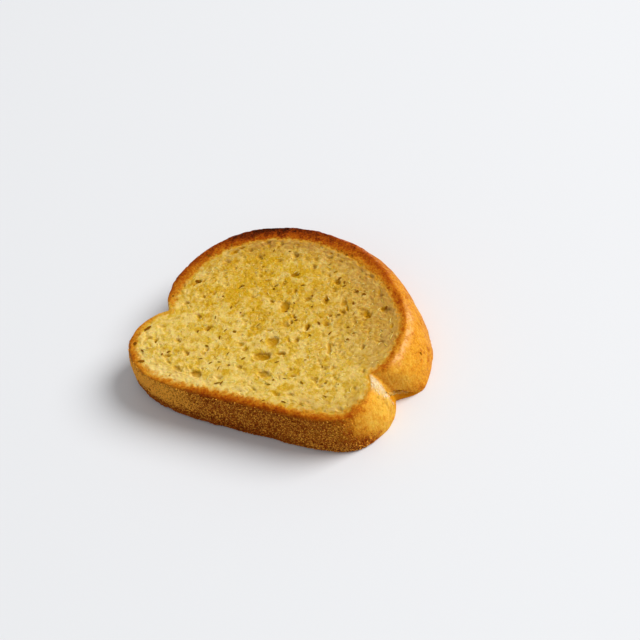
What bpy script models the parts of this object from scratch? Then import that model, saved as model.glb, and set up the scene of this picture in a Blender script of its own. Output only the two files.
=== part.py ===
"""One thick slice of toasted garlic bread, lying on its cut face.

The slice comes from a hearth loaf: a broad dome over a foot that bulges on both sides, with a
sharp notch where dome and foot meet. The crust flares towards the underside, most of all on
the right of the dome, where it ends in a torn lip over the notch. Both cut faces are open
crumb, and dried herb flakes are baked into the upper one.

The model is laid out in millimetres and scaled to metres at the end. X runs along the
longest extent, +Y points to the crown of the dome and +Z up through the thickness.
"""
import math
import random

import bpy
import bmesh
import numpy as np
from mathutils import Matrix, Vector, noise
from mathutils.geometry import delaunay_2d_cdt

METRES_PER_MM = 0.001

# Driving dimensions, in millimetres
THICKNESS = 22.0           # cut face to cut face
TOP_EDGE_RADIUS = 0.9      # rounding where the upper cut face meets the crust
BOTTOM_EDGE_RADIUS = 0.8   # rounding at the underside
FLARE_POWER = 0.45         # below 1: the crust swells out quickly just under the upper face
WALL_BULGE = 0.6           # how far the wall stands proud halfway down
CRUST_RELIEF = 0.35        # height of the crust's gentle unevenness
CRUST_WAVE = 9.0           # its wavelength
FACE_RELIEF = 0.45         # height of the upper face's unevenness
FACE_SWELL = 24.0          # the wavelength of its broad swells
FACE_RIPPLE = 8.0          # and of the finer ripples, half as high
FACE_GRID = 6.5            # spacing of the points that shape the upper face
FACE_MARGIN = 3.2          # the rim of the face, kept free of those points

# Heights of the rings of points up the wall; a close pair of them follows the torn lip
LIP_LEVEL = 6.5
WALL_LEVELS = (0.0, 0.8, 3.4, 5.9, LIP_LEVEL + 0.3, 10.5, 14.5, 18.0, 21.1, 21.75, THICKNESS)

# The outline, as knots of smooth curves between the two notches, running anticlockwise.
# Each knot holds its place on the upper face and on the underside: (x, y, x below, y below).
DOME_KNOTS = (
    (54.6, -12.0, 62.0, -8.0),      # right notch
    (60.2, -4.6, 70.2, -1.8),
    (61.8, 8.5, 71.4, 8.0),
    (57.6, 21.5, 66.6, 23.0),
    (42.6, 39.7, 49.2, 44.4),
    (21.8, 53.2, 26.4, 60.4),
    (-6.0, 60.3, -5.6, 66.0),
    (-32.6, 55.9, -35.0, 60.6),
    (-51.8, 41.4, -55.4, 44.2),
    (-59.7, 20.4, -63.2, 21.6),
    (-58.6, 6.6, -61.2, 7.2),
    (-54.0, -0.7, -55.6, -0.5),     # left notch
)
FOOT_KNOTS = (
    (-54.0, -0.7, -55.6, -0.5),     # left notch
    (-59.4, -5.0, -61.0, -4.4),
    (-64.3, -16.0, -66.8, -15.2),
    (-60.4, -27.6, -63.6, -28.6),
    (-47.0, -37.6, -49.4, -37.0),
    (-28.0, -40.7, -28.0, -41.2),
    (10.0, -40.6, 10.0, -41.8),
    (39.5, -40.0, 40.4, -41.5),
    (53.4, -36.4, 56.6, -36.8),
    (59.4, -26.0, 64.6, -24.4),
    (57.9, -16.8, 64.6, -14.6),
    (54.6, -12.0, 62.0, -8.0),      # right notch
)
DOME_STATIONS = 88
FOOT_STATIONS = 72

# The torn lip of the dome crust beside the right notch, and the torn patch of the foot there
LIP_LENGTH = 11.5          # along the crust from the notch
LIP_HEIGHT = 9.5           # where the crust ends at the notch; from there the lip runs down
LIP_DEPTH = 2.4            # how far the crumb under it lies back
LIP_END = 1.2              # its height where it runs out
LIP_FADE = 9.0             # the stretch past its ends where the rings settle back
LIP_RAGGEDNESS = 0.9       # how far the lip wanders up and down
LIP_TEAR = 1.7             # the wavelength of that wandering
PATCH_LENGTH = 8.0         # along the foot from the notch
PATCH_DEPTH = 0.8          # how far the torn patch lies back

# The larger pores of the upper face: (x, y, length, width, depth, turn in degrees)
FACE_PORES = (
    (0.4, 14.9, 4.6, 4.0, 1.9, 20),
    (3.7, -5.4, 6.4, 5.6, 0.9, 0),
    (2.9, -14.2, 9.8, 4.6, 1.7, 12),
    (8.6, -23.1, 6.8, 3.2, 1.2, 6),
    (-23.2, -31.3, 6.4, 3.4, 1.4, -2),
    (-33.4, -30.8, 5.0, 2.6, 1.2, -14),
    (-48.8, 18.4, 4.2, 2.4, 1.9, 40),
    (18.4, 33.9, 5.0, 2.8, 1.5, -35),
    (16.2, 5.5, 4.0, 2.4, 1.7, 70),
    (40.7, 18.2, 3.8, 2.8, 1.6, 10),
    (47.5, 23.3, 4.6, 2.6, 1.5, 30),
    (45.8, 1.3, 2.8, 2.0, 1.7, 75),
    (52.0, -10.4, 2.0, 1.6, 1.5, 0),
)
# The smaller ones, scattered: how many, how far from the rim and from one another
FACE_SCATTER = (50, 5.0, 6.6)
UNDERSIDE_SCATTER = (30, 6.0, 9.0)
PORE_LENGTHS = (2.2, 5.0)
PORE_WIDTHS = (1.6, 2.6)
PORE_DEPTHS = (0.9, 1.6)
PORE_TURN = 40.0           # they lie along the loaf's width, within this many degrees
PORE_SIDES = 8
PORE_RINGS = 5
PORE_SEED = 11

# Herb flakes on the upper face: the larger ones by place, (x, y, length, turn in degrees)
NAMED_FLAKES = (
    (-58.9, -13.4, 3.6, 40),
    (-51.7, -31.0, 3.4, 12),
    (-9.6, -33.6, 3.2, 30),
    (-8.2, -33.0, 2.4, 75),
)
FLAKE_SCATTER = (34, 3.5, 4.5)
FLAKE_LENGTHS = (1.4, 2.6)
FLAKE_WIDTH = 0.85
FLAKE_THICKNESS = 0.7
FLAKE_SKEW = 0.15          # how far the leaf's widest points are shifted, as a share of length
FLAKE_TILT = 18.0          # degrees
FLAKE_LIFT = 0.1           # its middle above the face
FLAKE_SEED = 5

# Colours (linear) with roughness, from the toasted surfaces
CRUMB = ("toasted_crumb", (0.73, 0.50, 0.14, 1.0), 0.75)
CRUST = ("baked_crust", (0.46, 0.19, 0.035, 1.0), 0.55)
HERB = ("dried_herb", (0.09, 0.07, 0.02, 1.0), 0.8)
CRUMB_SLOT, CRUST_SLOT, HERB_SLOT = range(3)

NODE_NAME = "bread_slice"


def clear_scene():
    """Remove every object, so that the script can be run again."""
    for item in list(bpy.data.objects):
        bpy.data.objects.remove(item, do_unlink=True)


def bread_material(name, colour, roughness):
    """A plain Principled material for one kind of surface."""
    material = bpy.data.materials.new(name)
    material.use_nodes = True
    shader = material.node_tree.nodes["Principled BSDF"]
    shader.inputs["Base Color"].default_value = colour
    shader.inputs["Roughness"].default_value = roughness
    shader.inputs["Metallic"].default_value = 0.0
    return material


def smooth_run(knots, count):
    """Points on a smooth curve through the knots, without its last one."""
    knots = np.array(knots)
    steps = np.linalg.norm(np.diff(knots[:, :2], axis=0), axis=1)
    times = np.concatenate(([0.0], np.cumsum(steps)))
    slopes = np.empty_like(knots)
    slopes[1:-1] = (knots[2:] - knots[:-2]) / (times[2:] - times[:-2])[:, None]
    slopes[0] = 1.5 * (knots[1] - knots[0]) / steps[0] - 0.5 * slopes[1]
    slopes[-1] = 1.5 * (knots[-1] - knots[-2]) / steps[-1] - 0.5 * slopes[-2]
    run = []
    for time in np.linspace(0.0, times[-1], count, endpoint=False):
        i = min(int(np.searchsorted(times, time, side="right")) - 1, len(steps) - 1)
        u = (time - times[i]) / steps[i]
        run.append((2 * u**3 - 3 * u**2 + 1) * knots[i]
                   + (u**3 - 2 * u**2 + u) * steps[i] * slopes[i]
                   + (3 * u**2 - 2 * u**3) * knots[i + 1]
                   + (u**3 - u**2) * steps[i] * slopes[i + 1])
    return np.array(run)


def outline_rails():
    """The upper and lower outline, station by station, and the outward directions."""
    rails = np.vstack((smooth_run(DOME_KNOTS, DOME_STATIONS),
                       smooth_run(FOOT_KNOTS, FOOT_STATIONS)))
    upper, lower = rails[:, :2], rails[:, 2:]
    along = np.roll(upper, -1, axis=0) - np.roll(upper, 1, axis=0)
    outward = np.stack((along[:, 1], -along[:, 0]), axis=1)
    outward /= np.linalg.norm(outward, axis=1)[:, None]
    return upper, lower, outward


def edge_inset(height):
    """How far the rounded edges draw the wall in at a height."""
    inset = 0.0
    for gap, radius in ((THICKNESS - height, TOP_EDGE_RADIUS), (height, BOTTOM_EDGE_RADIUS)):
        if gap < radius:
            inset += radius - math.sqrt(radius**2 - (radius - gap)**2)
    return inset


def lip_line(distance):
    """Height of the rings that follow the lip, at a distance from the right notch.

    Distances run positive along the dome and negative along the foot. Past both ends of the
    lip the rings settle back to their own level.
    """
    start, end = (LIP_HEIGHT, -distance) if distance < 0.0 else (LIP_END, distance - LIP_LENGTH)
    if end > 0.0:
        return start + (LIP_LEVEL - start) * min(1.0, end / LIP_FADE)
    ragged = LIP_RAGGEDNESS * noise.noise(Vector((distance, 0.0, 7.0)) / LIP_TEAR)
    return max(LIP_END, LIP_HEIGHT * (1.0 - distance / LIP_LENGTH) + ragged)


def torn_away(distance, level, height):
    """How far the wall lies back where it is torn, at a distance from the right notch."""
    if 0.0 < distance < LIP_LENGTH and level < LIP_LEVEL:
        along = math.sin(math.pi * distance / LIP_LENGTH)**0.6
        return LIP_DEPTH * along * math.sqrt(height / lip_line(distance))
    if -PATCH_LENGTH < distance < 0.0:
        along = math.sin(math.pi * -distance / PATCH_LENGTH)
        return PATCH_DEPTH * along * math.sin(math.pi * height / THICKNESS)
    return 0.0


def ring_height(distance, level):
    """Height of a ring at a station: its own level, bent to follow the lip."""
    line = lip_line(distance)
    if level < LIP_LEVEL:
        return level * line / LIP_LEVEL
    return line + (level - LIP_LEVEL) * (THICKNESS - line) / (THICKNESS - LIP_LEVEL)


def wall_point(place, level):
    """A point of the crust for one station, (upper, lower, outward, distance), on a ring."""
    upper, lower, outward, distance = place
    height = ring_height(distance, level)
    depth = (THICKNESS - height) / THICKNESS
    point = upper + (lower - upper) * depth**FLARE_POWER
    swell = WALL_BULGE * 4.0 * depth * (1.0 - depth)
    wave = noise.noise(Vector((upper[0], upper[1], 1.5 * height)) / CRUST_WAVE)
    relief = CRUST_RELIEF * wave * min(1.0, 6.0 * depth * (1.0 - depth))
    torn = torn_away(distance, level, height)
    point = point + outward * (swell + relief - edge_inset(height) - torn)
    return point[0], point[1], height


def face_height(x, y):
    """The uneven upper face, level at its rim's own height."""
    swell = noise.noise(Vector((x, y, 0.0)) / FACE_SWELL)
    ripple = noise.noise(Vector((x, y, 40.0)) / FACE_RIPPLE)
    return THICKNESS + FACE_RELIEF * (swell + 0.5 * ripple)


def inside(point, outline, margin):
    """Whether a point lies inside a closed outline by at least a margin."""
    after = np.roll(outline, -1, axis=0)
    crosses = (outline[:, 1] > point[1]) != (after[:, 1] > point[1])
    rise = np.where(crosses, after[:, 1] - outline[:, 1], 1.0)
    at = outline[:, 0] + (point[1] - outline[:, 1]) * (after[:, 0] - outline[:, 0]) / rise
    odd = np.count_nonzero(crosses & (at > point[0])) % 2 == 1
    return odd and np.linalg.norm(outline - point, axis=1).min() >= margin


def face_grid(outline):
    """Points inside the upper face, in a triangular grid."""
    row_step = FACE_GRID * math.sqrt(3.0) / 2.0
    low, high = outline.min(axis=0), outline.max(axis=0)
    points = []
    for row in range(int((high[1] - low[1]) / row_step) + 1):
        y = low[1] + row * row_step
        shift = 0.5 * FACE_GRID * (row % 2)
        for column in range(int((high[0] - low[0]) / FACE_GRID) + 1):
            point = np.array((low[0] + shift + column * FACE_GRID, y))
            if inside(point, outline, FACE_MARGIN):
                points.append(point)
    return points


def build_slice():
    """The bare slice: crust wall, upper face and flat underside, as one closed mesh."""
    upper, lower, outward = outline_rails()
    strides = np.linalg.norm(np.roll(lower, -1, axis=0) - lower, axis=1)
    distances = np.cumsum(strides) - strides
    distances[DOME_STATIONS:] -= strides.sum()
    places = list(zip(upper, lower, outward, distances))
    count = len(places)

    shape = bmesh.new()
    rings = [[shape.verts.new(wall_point(place, level)) for place in places]
             for level in WALL_LEVELS]
    for low_ring, high_ring in zip(rings, rings[1:]):
        for i in range(count):
            j = (i + 1) % count
            shape.faces.new((low_ring[i], low_ring[j], high_ring[j], high_ring[i]))
    for face in shape.faces:
        face.material_index = CRUST_SLOT
    shape.faces.new(list(reversed(rings[0]))).material_index = CRUMB_SLOT

    rim = rings[-1]
    edge = np.array([vertex.co[:2] for vertex in rim])
    grid = face_grid(edge)
    flat = [Vector(point) for point in edge] + [Vector(point) for point in grid]
    loop = [(i, (i + 1) % count) for i in range(count)]
    triangles = delaunay_2d_cdt(flat, loop, [], 1, 1e-5)[2]
    vertices = rim + [shape.verts.new((x, y, face_height(x, y))) for x, y in grid]
    for corners in triangles:
        shape.faces.new([vertices[i] for i in corners]).material_index = CRUMB_SLOT
    bmesh.ops.recalc_face_normals(shape, faces=shape.faces)
    return shape, upper, lower


def mesh_object(name, shape, material_slots):
    """Make an object from a bmesh, with the slice's materials."""
    mesh = bpy.data.meshes.new(name)
    shape.to_mesh(mesh)
    shape.free()
    item = bpy.data.objects.new(name, mesh)
    for material in material_slots:
        mesh.materials.append(material)
    bpy.context.scene.collection.objects.link(item)
    return item


def add_body(tools, name, shape, material_slots):
    """Put a cutter or a topping into its collection."""
    item = mesh_object(name, shape, material_slots)
    item.hide_render = True
    item.display_type = "WIRE"
    bpy.context.scene.collection.objects.unlink(item)
    tools.objects.link(item)


def pore_shape(x, y, z, size, turn):
    """An egg-shaped hollow, (length, width, depth) across, centred on a cut face."""
    shape = bmesh.new()
    bmesh.ops.create_uvsphere(shape, u_segments=PORE_SIDES, v_segments=PORE_RINGS, radius=1.0)
    length, width, depth = size
    place = (Matrix.Translation((x, y, z)) @ Matrix.Rotation(math.radians(turn), 4, "Z")
             @ Matrix.Diagonal((length / 2.0, width / 2.0, depth, 1.0)))
    bmesh.ops.transform(shape, matrix=place, verts=shape.verts)
    for face in shape.faces:
        face.material_index = CRUMB_SLOT
    return shape


def scatter(draw, outline, spread, taken):
    """Random places inside an outline; spread is their count, margin to it and gap between."""
    count, margin, gap = spread
    low, high = outline.min(axis=0), outline.max(axis=0)
    places = []
    while len(places) < count:
        point = np.array((draw.uniform(low[0], high[0]), draw.uniform(low[1], high[1])))
        near = [np.linalg.norm(point - other) < gap for other in taken + places]
        if not any(near) and inside(point, outline, margin):
            places.append(point)
    return places


def cut_pores(upper, lower, material_slots):
    """The collection of pore cutters, and the places of those on the upper face."""
    draw = random.Random(PORE_SEED)
    cutters = bpy.data.collections.new("pores")
    bpy.context.scene.collection.children.link(cutters)
    pores = [(x, y, THICKNESS, (length, width, depth), turn)
             for x, y, length, width, depth, turn in FACE_PORES]
    named = [np.array(pore[:2]) for pore in FACE_PORES]
    extra = scatter(draw, upper, FACE_SCATTER, named)
    under = scatter(draw, lower, UNDERSIDE_SCATTER, [])
    for height, places in ((THICKNESS, extra), (0.0, under)):
        for x, y in places:
            size = [draw.uniform(*limits) for limits in (PORE_LENGTHS, PORE_WIDTHS, PORE_DEPTHS)]
            pores.append((x, y, height, size, draw.uniform(-PORE_TURN, PORE_TURN)))
    for number, (x, y, z, size, turn) in enumerate(pores):
        add_body(cutters, f"pore_{number}", pore_shape(x, y, z, size, turn), material_slots)
    return cutters, named + extra


def flake_shape(x, y, length, turn, tilt):
    """A bit of dried leaf: a pointed lozenge, lying half sunk in the upper face."""
    shape = bmesh.new()
    half = (length / 2.0, FLAKE_WIDTH / 2.0, FLAKE_THICKNESS / 2.0)
    tips = [shape.verts.new((side * half[0], 0.0, 0.0)) for side in (-1, 1)]
    ring = [shape.verts.new((FLAKE_SKEW * length * lean, half[1] * across, half[2] * up))
            for lean, across, up in ((0, 0, 1), (1, 1, 0), (0, 0, -1), (-1, -1, 0))]
    for i in range(4):
        shape.faces.new((tips[0], ring[i], ring[(i + 1) % 4]))
        shape.faces.new((tips[1], ring[(i + 1) % 4], ring[i]))
    for face in shape.faces:
        face.material_index = HERB_SLOT
    bmesh.ops.recalc_face_normals(shape, faces=shape.faces)
    place = (Matrix.Translation((x, y, face_height(x, y) + FLAKE_LIFT))
             @ Matrix.Rotation(math.radians(turn), 4, "Z")
             @ Matrix.Rotation(math.radians(tilt), 4, "X"))
    bmesh.ops.transform(shape, matrix=place, verts=shape.verts)
    return shape


def lay_flakes(upper, pores, material_slots):
    """The collection of herb flakes, clear of the pores."""
    draw = random.Random(FLAKE_SEED)
    flakes = bpy.data.collections.new("flakes")
    bpy.context.scene.collection.children.link(flakes)
    laid = list(NAMED_FLAKES)
    named = [np.array(flake[:2]) for flake in NAMED_FLAKES]
    for x, y in scatter(draw, upper, FLAKE_SCATTER, pores + named):
        laid.append((x, y, draw.uniform(*FLAKE_LENGTHS), draw.uniform(0.0, 180.0)))
    for number, (x, y, length, turn) in enumerate(laid):
        shape = flake_shape(x, y, length, turn, draw.uniform(-FLAKE_TILT, FLAKE_TILT))
        add_body(flakes, f"flake_{number}", shape, material_slots)
    return flakes


def join(item, tools, operation):
    """Cut or fuse a whole collection with one Boolean, apply it and drop the collection."""
    modifier = item.modifiers.new(operation.lower(), "BOOLEAN")
    modifier.operation = operation
    modifier.operand_type = "COLLECTION"
    modifier.collection = tools
    modifier.solver = "EXACT"
    bpy.context.view_layer.update()
    solid = item.evaluated_get(bpy.context.evaluated_depsgraph_get())
    mesh = bpy.data.meshes.new_from_object(solid)
    item.modifiers.clear()
    item.data = mesh
    for tool in list(tools.objects):
        bpy.data.objects.remove(tool, do_unlink=True)
    bpy.data.collections.remove(tools)


def finish(item):
    """Triangulate, scale to metres and centre the slice on the middle of its box, underside at 0."""
    shape = bmesh.new()
    shape.from_mesh(item.data)
    bmesh.ops.triangulate(shape, faces=shape.faces)
    corners = np.array([vertex.co for vertex in shape.verts])
    middle = (corners.min(axis=0) + corners.max(axis=0)) / 2.0
    bmesh.ops.translate(shape, vec=(-middle[0], -middle[1], 0.0), verts=shape.verts)
    bmesh.ops.scale(shape, vec=(METRES_PER_MM,) * 3, verts=shape.verts)
    shape.to_mesh(item.data)
    shape.free()
    item.data.shade_smooth()
    item.data.set_sharp_from_angle(angle=math.radians(40.0))


def main():
    """Build the slice."""
    clear_scene()
    material_slots = [bread_material(*kind) for kind in (CRUMB, CRUST, HERB)]
    shape, upper, lower = build_slice()
    item = mesh_object(NODE_NAME, shape, material_slots)
    cutters, pores = cut_pores(upper, lower, material_slots)
    join(item, cutters, "DIFFERENCE")
    join(item, lay_flakes(upper, pores, material_slots), "UNION")
    finish(item)


main()
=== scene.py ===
"""The look of one toasted slice of garlic bread, dressed over its fixed solid.

The solid gives every place: the outline, the rim, the torn lip, the large pores and the herb
flakes. Round it come a fine open crumb and a baked crust, the coarse meal that sticks to the
foot, the dried herb leaves and the crumbs of the torn places. Sizes are in millimetres, and
heights are measured from the underside.
"""
import logging
import math
from collections.abc import Iterator
from contextlib import contextmanager
from dataclasses import dataclass
from enum import Enum

import bpy
import numpy as np
from mathutils import Matrix, Vector
from mathutils.kdtree import KDTree


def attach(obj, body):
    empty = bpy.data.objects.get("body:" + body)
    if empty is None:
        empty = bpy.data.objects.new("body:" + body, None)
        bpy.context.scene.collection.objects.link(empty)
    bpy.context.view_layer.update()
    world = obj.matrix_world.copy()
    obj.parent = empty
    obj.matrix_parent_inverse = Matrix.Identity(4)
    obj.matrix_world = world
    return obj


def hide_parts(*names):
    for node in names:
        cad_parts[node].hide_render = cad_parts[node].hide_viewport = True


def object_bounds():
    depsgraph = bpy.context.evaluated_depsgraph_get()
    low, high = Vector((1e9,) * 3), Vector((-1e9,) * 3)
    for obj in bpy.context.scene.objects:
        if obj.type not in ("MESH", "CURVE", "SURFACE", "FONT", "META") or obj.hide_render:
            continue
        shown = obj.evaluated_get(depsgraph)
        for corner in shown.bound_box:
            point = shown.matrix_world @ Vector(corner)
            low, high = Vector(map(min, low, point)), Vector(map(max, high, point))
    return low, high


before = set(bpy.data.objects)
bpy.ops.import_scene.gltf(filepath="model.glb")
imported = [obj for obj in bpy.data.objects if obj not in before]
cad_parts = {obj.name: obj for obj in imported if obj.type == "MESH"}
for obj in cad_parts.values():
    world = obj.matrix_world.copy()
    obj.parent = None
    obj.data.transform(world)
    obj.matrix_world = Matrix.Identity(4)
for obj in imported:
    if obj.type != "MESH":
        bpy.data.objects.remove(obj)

CAD_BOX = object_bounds()
LOG = logging.getLogger("garlic_bread")

MM = 0.001
BODY = "root"
NODE = "bread_slice"
FACE_HEIGHT = 22.0

Array = np.ndarray
Piece = bpy.types.Object
Socket = bpy.types.NodeSocket
Pair = tuple[float, float]
Triple = tuple[float, float, float]
Colour = tuple[float, float, float, float]
Patches = tuple[tuple[float, float, float, float], ...]


class Slot(Enum):
    """The record's material slots."""

    CRUMB = "toasted_crumb"
    CRUST = "baked_crust"
    HERB = "dried_herb"


# ---------------- small tools


def only(piece: Piece) -> None:
    """Select one object alone and make it the active one."""
    bpy.ops.object.select_all(action="DESELECT")
    piece.select_set(True)
    bpy.context.view_layer.objects.active = piece


@contextmanager
def editing(piece: Piece) -> Iterator[None]:
    """Stay in edit mode on one piece, with all of its mesh selected at first.

    Args:
        piece: The object to edit.

    Yields:
        Nothing; edit mode ends with the block.
    """
    only(piece)
    bpy.ops.object.mode_set(mode="EDIT")
    bpy.ops.mesh.select_all(action="SELECT")
    yield
    bpy.ops.object.mode_set(mode="OBJECT")


def add(name: str, data: bpy.types.ID) -> Piece:
    """Add an object with this name and this mesh, light or camera, and return it."""
    piece = bpy.data.objects.new(name, data)
    bpy.context.scene.collection.objects.link(piece)
    return piece


def apply_modifier(piece: Piece, kind: str, **settings: object) -> None:
    """Add a modifier to a piece and apply it.

    Args:
        piece: The object it works on.
        kind: The modifier's type, as Blender names it.
        **settings: The modifier's own settings.
    """
    only(piece)
    modifier = piece.modifiers.new(kind.title(), kind)
    for name, value in settings.items():
        setattr(modifier, name, value)
    bpy.ops.object.modifier_apply(modifier=modifier.name)


def thin(piece: Piece, chosen: Array, triangles: int) -> None:
    """Thin one region of a mesh and leave the rest as fine as it is.

    Args:
        piece: The object to thin.
        chosen: Which of its vertices belong to the region.
        triangles: How many triangles the region keeps.
    """
    corners = corners_of(piece)
    inside = int((chosen[corners].mean(axis=1) > 0.5).sum())
    group = piece.vertex_groups.new(name="region")
    group.add(np.flatnonzero(chosen).tolist(), 1.0, "REPLACE")
    share = 1.0 - max(inside - triangles, 0) / len(corners)
    apply_modifier(piece, "DECIMATE", ratio=share, vertex_group=group.name,
                   vertex_group_factor=1.0)
    piece.vertex_groups.clear()


def points_of(piece: Piece) -> Array:
    """Return a piece's vertices, one row each, in millimetres."""
    flat = np.empty(len(piece.data.vertices) * 3)
    piece.data.vertices.foreach_get("co", flat)
    return flat.reshape(-1, 3) / MM


def inside_box(points: Array) -> Array:
    """Return places that are kept inside the solid's box."""
    low, high = np.array(CAD_BOX) / MM
    return np.clip(points, low, high)


def move_points(piece: Piece, points: Array) -> None:
    """Put a piece's vertices at new places, one row each, in millimetres."""
    piece.data.vertices.foreach_set("co", (points * MM).ravel())
    piece.data.update()


def normals_of(piece: Piece) -> Array:
    """Return the directions that a piece's vertices face, one row each."""
    flat = np.empty(len(piece.data.vertices) * 3)
    piece.data.vertices.foreach_get("normal", flat)
    return flat.reshape(-1, 3)


def corners_of(piece: Piece) -> Array:
    """Return the vertex numbers of a piece's triangles, one row each."""
    piece.data.calc_loop_triangles()
    flat = np.empty(len(piece.data.loop_triangles) * 3, dtype=np.int64)
    piece.data.loop_triangles.foreach_get("vertices", flat)
    return flat.reshape(-1, 3)


def store(piece: Piece, name: str, values: Array) -> None:
    """Keep one number for each vertex under a name, for the finish to read."""
    attribute = piece.data.attributes.new(name, "FLOAT", "POINT")
    attribute.data.foreach_set("value", values.astype(np.float32))


def finish_piece(piece: Piece, material: bpy.types.Material, slot: Slot) -> None:
    """Give a piece its material, attach it to the body, and hide the solid's node.

    Args:
        piece: The finished object.
        material: Its material.
        slot: The record's slot for it; not used.
    """
    piece.data.materials.clear()
    piece.data.materials.append(material)
    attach(piece, BODY)
    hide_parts(NODE)
    LOG.info("%s: %d triangles", piece.name, len(corners_of(piece)))


def ease(values: Array, start: float, end: float) -> Array:
    """Rise smoothly from 0 at start to 1 at end, which may also lie below start."""
    share = np.clip((values - start) / (end - start), 0.0, 1.0)
    return share * share * (3.0 - 2.0 * share)


def turned_from(start: float, turn: Array) -> Array:
    """Return how far directions are turned from a first one, from -180 to 180 degrees."""
    return (turn - start + 180.0) % 360.0 - 180.0


def mostly_short(lengths: Pair, draw: np.random.Generator) -> float:
    """Draw a length between two limits, more often near the shorter one."""
    return lengths[0] + np.ptp(lengths) * draw.random() ** 2


def lattice_noise(places: Array, size: float, seed: int) -> Array:
    """Smooth noise from -1 to 1 in two or three dimensions.

    Args:
        places: One row for each place.
        size: How far apart its hills are.
        seed: Which noise it is.

    Returns:
        One number for each place.
    """
    period = 64
    width = places.shape[1]
    table = np.random.default_rng(seed).uniform(-1.0, 1.0, (period,) * width)
    scaled = places / size
    base = np.floor(scaled).astype(int)
    share = scaled - base
    share = share * share * (3.0 - 2.0 * share)
    total = np.zeros(len(places))
    for corner in np.ndindex((2,) * width):
        weight = np.prod(np.where(corner, share, 1.0 - share), axis=1)
        total += weight * table[tuple(((base + corner) % period).T)]
    return total


def rough_noise(places: Array, size: float, octaves: int, seed: int) -> Array:
    """Add up smooth noises, each half the size and height of the last, to about -1 to 1."""
    parts = [lattice_noise(places, size / 2**i, seed + i) / 2**i for i in range(octaves)]
    return sum(parts) / (2.0 - 2.0 ** (1 - octaves))


def soften(values: Array, radius: float) -> Array:
    """Blur a grid of values.

    Args:
        values: The grid.
        radius: The blur's radius, in cells.

    Returns:
        The blurred grid.
    """
    rows, columns = values.shape
    pitch = np.fft.fftfreq(rows)[:, None] ** 2 + np.fft.rfftfreq(columns)[None, :] ** 2
    kept = np.exp(-2.0 * (math.pi * radius) ** 2 * pitch)
    return np.fft.irfft2(np.fft.rfft2(values) * kept, s=values.shape)


@dataclass(frozen=True)
class Stretch:
    """A stretch with soft ends: of directions, in degrees, or of distances.

    Attributes:
        begin: Where it begins.
        full: Where it is complete.
        fade: Where it begins to fade.
        end: Where it has ended.
    """

    begin: float
    full: float
    fade: float
    end: float

    def at(self, values: Array) -> Array:
        """Return how complete it is at each value, from 0 to 1."""
        return ease(values, self.begin, self.full) * ease(values, self.end, self.fade)


@dataclass
class FaceMap:
    """Values on a grid over the slice, as seen from above.

    Attributes:
        low: The grid's lowest corner.
        cell: The distance between its points.
        values: One value for each point, in rows along X.
    """

    low: Array
    cell: float
    values: Array

    @classmethod
    def blank(cls, cell: float) -> "FaceMap":
        """Make an empty map over the slice's box.

        Args:
            cell: The distance between its points.

        Returns:
            The map, all zero.
        """
        margin = 2.0
        low, high = (np.array(corner[:2]) / MM for corner in CAD_BOX)
        columns, rows = np.ceil((high - low + 2.0 * margin) / cell).astype(int) + 1
        return cls(low - margin, cell, np.zeros((rows, columns)))

    def places(self) -> Array:
        """Return the places of the map's points, one row each."""
        rows, columns = self.values.shape
        x, y = np.meshgrid(np.arange(columns), np.arange(rows))
        return self.low + self.cell * np.stack((x.ravel(), y.ravel()), axis=1)

    def fill(self, values: Array) -> "FaceMap":
        """Return a map like this one with other values."""
        return FaceMap(self.low, self.cell, values.reshape(self.values.shape))

    def at(self, places: Array) -> Array:
        """Read the map between its points.

        Args:
            places: One row for each place, with x and y first.

        Returns:
            One value for each place.
        """
        rows, columns = self.values.shape
        steps = (places[:, :2] - self.low) / self.cell
        steps = np.clip(steps, 0.0, (columns - 1.001, rows - 1.001))
        column, row = steps.astype(int).T
        right, up = (steps % 1.0).T
        values = self.values
        lower = values[row, column] * (1.0 - right) + values[row, column + 1] * right
        upper = values[row + 1, column] * (1.0 - right) + values[row + 1, column + 1] * right
        return lower * (1.0 - up) + upper * up

    def contour(self, places: Array) -> Array:
        """Find the direction in which the map stays level.

        Args:
            places: One row for each place, with x and y first.

        Returns:
            The direction at each place, in radians from +X.
        """
        flat = places[:, :2]
        right, up = self.cell * np.eye(2)
        slope_x = self.at(flat + right) - self.at(flat - right)
        slope_y = self.at(flat + up) - self.at(flat - up)
        return np.arctan2(slope_x, -slope_y)

    def mean_of(self, places: Array, values: Array, radius: float) -> "FaceMap":
        """Spread scattered values over the map.

        Args:
            places: Where the values are, one row each.
            values: One value for each place.
            radius: How far they are blurred, in cells.

        Returns:
            The map of their mean.
        """
        rows, columns = self.values.shape
        column, row = np.rint((places[:, :2] - self.low) / self.cell).astype(int).T
        cells = row * columns + column
        weight = np.bincount(cells, minlength=rows * columns).astype(float)
        total = np.bincount(cells, weights=values, minlength=rows * columns)
        weight = soften(weight.reshape(rows, columns), radius)
        total = soften(total.reshape(rows, columns), radius)
        return self.fill(total / np.maximum(weight, 1e-4))


# ---------------- the camera's view


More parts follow.
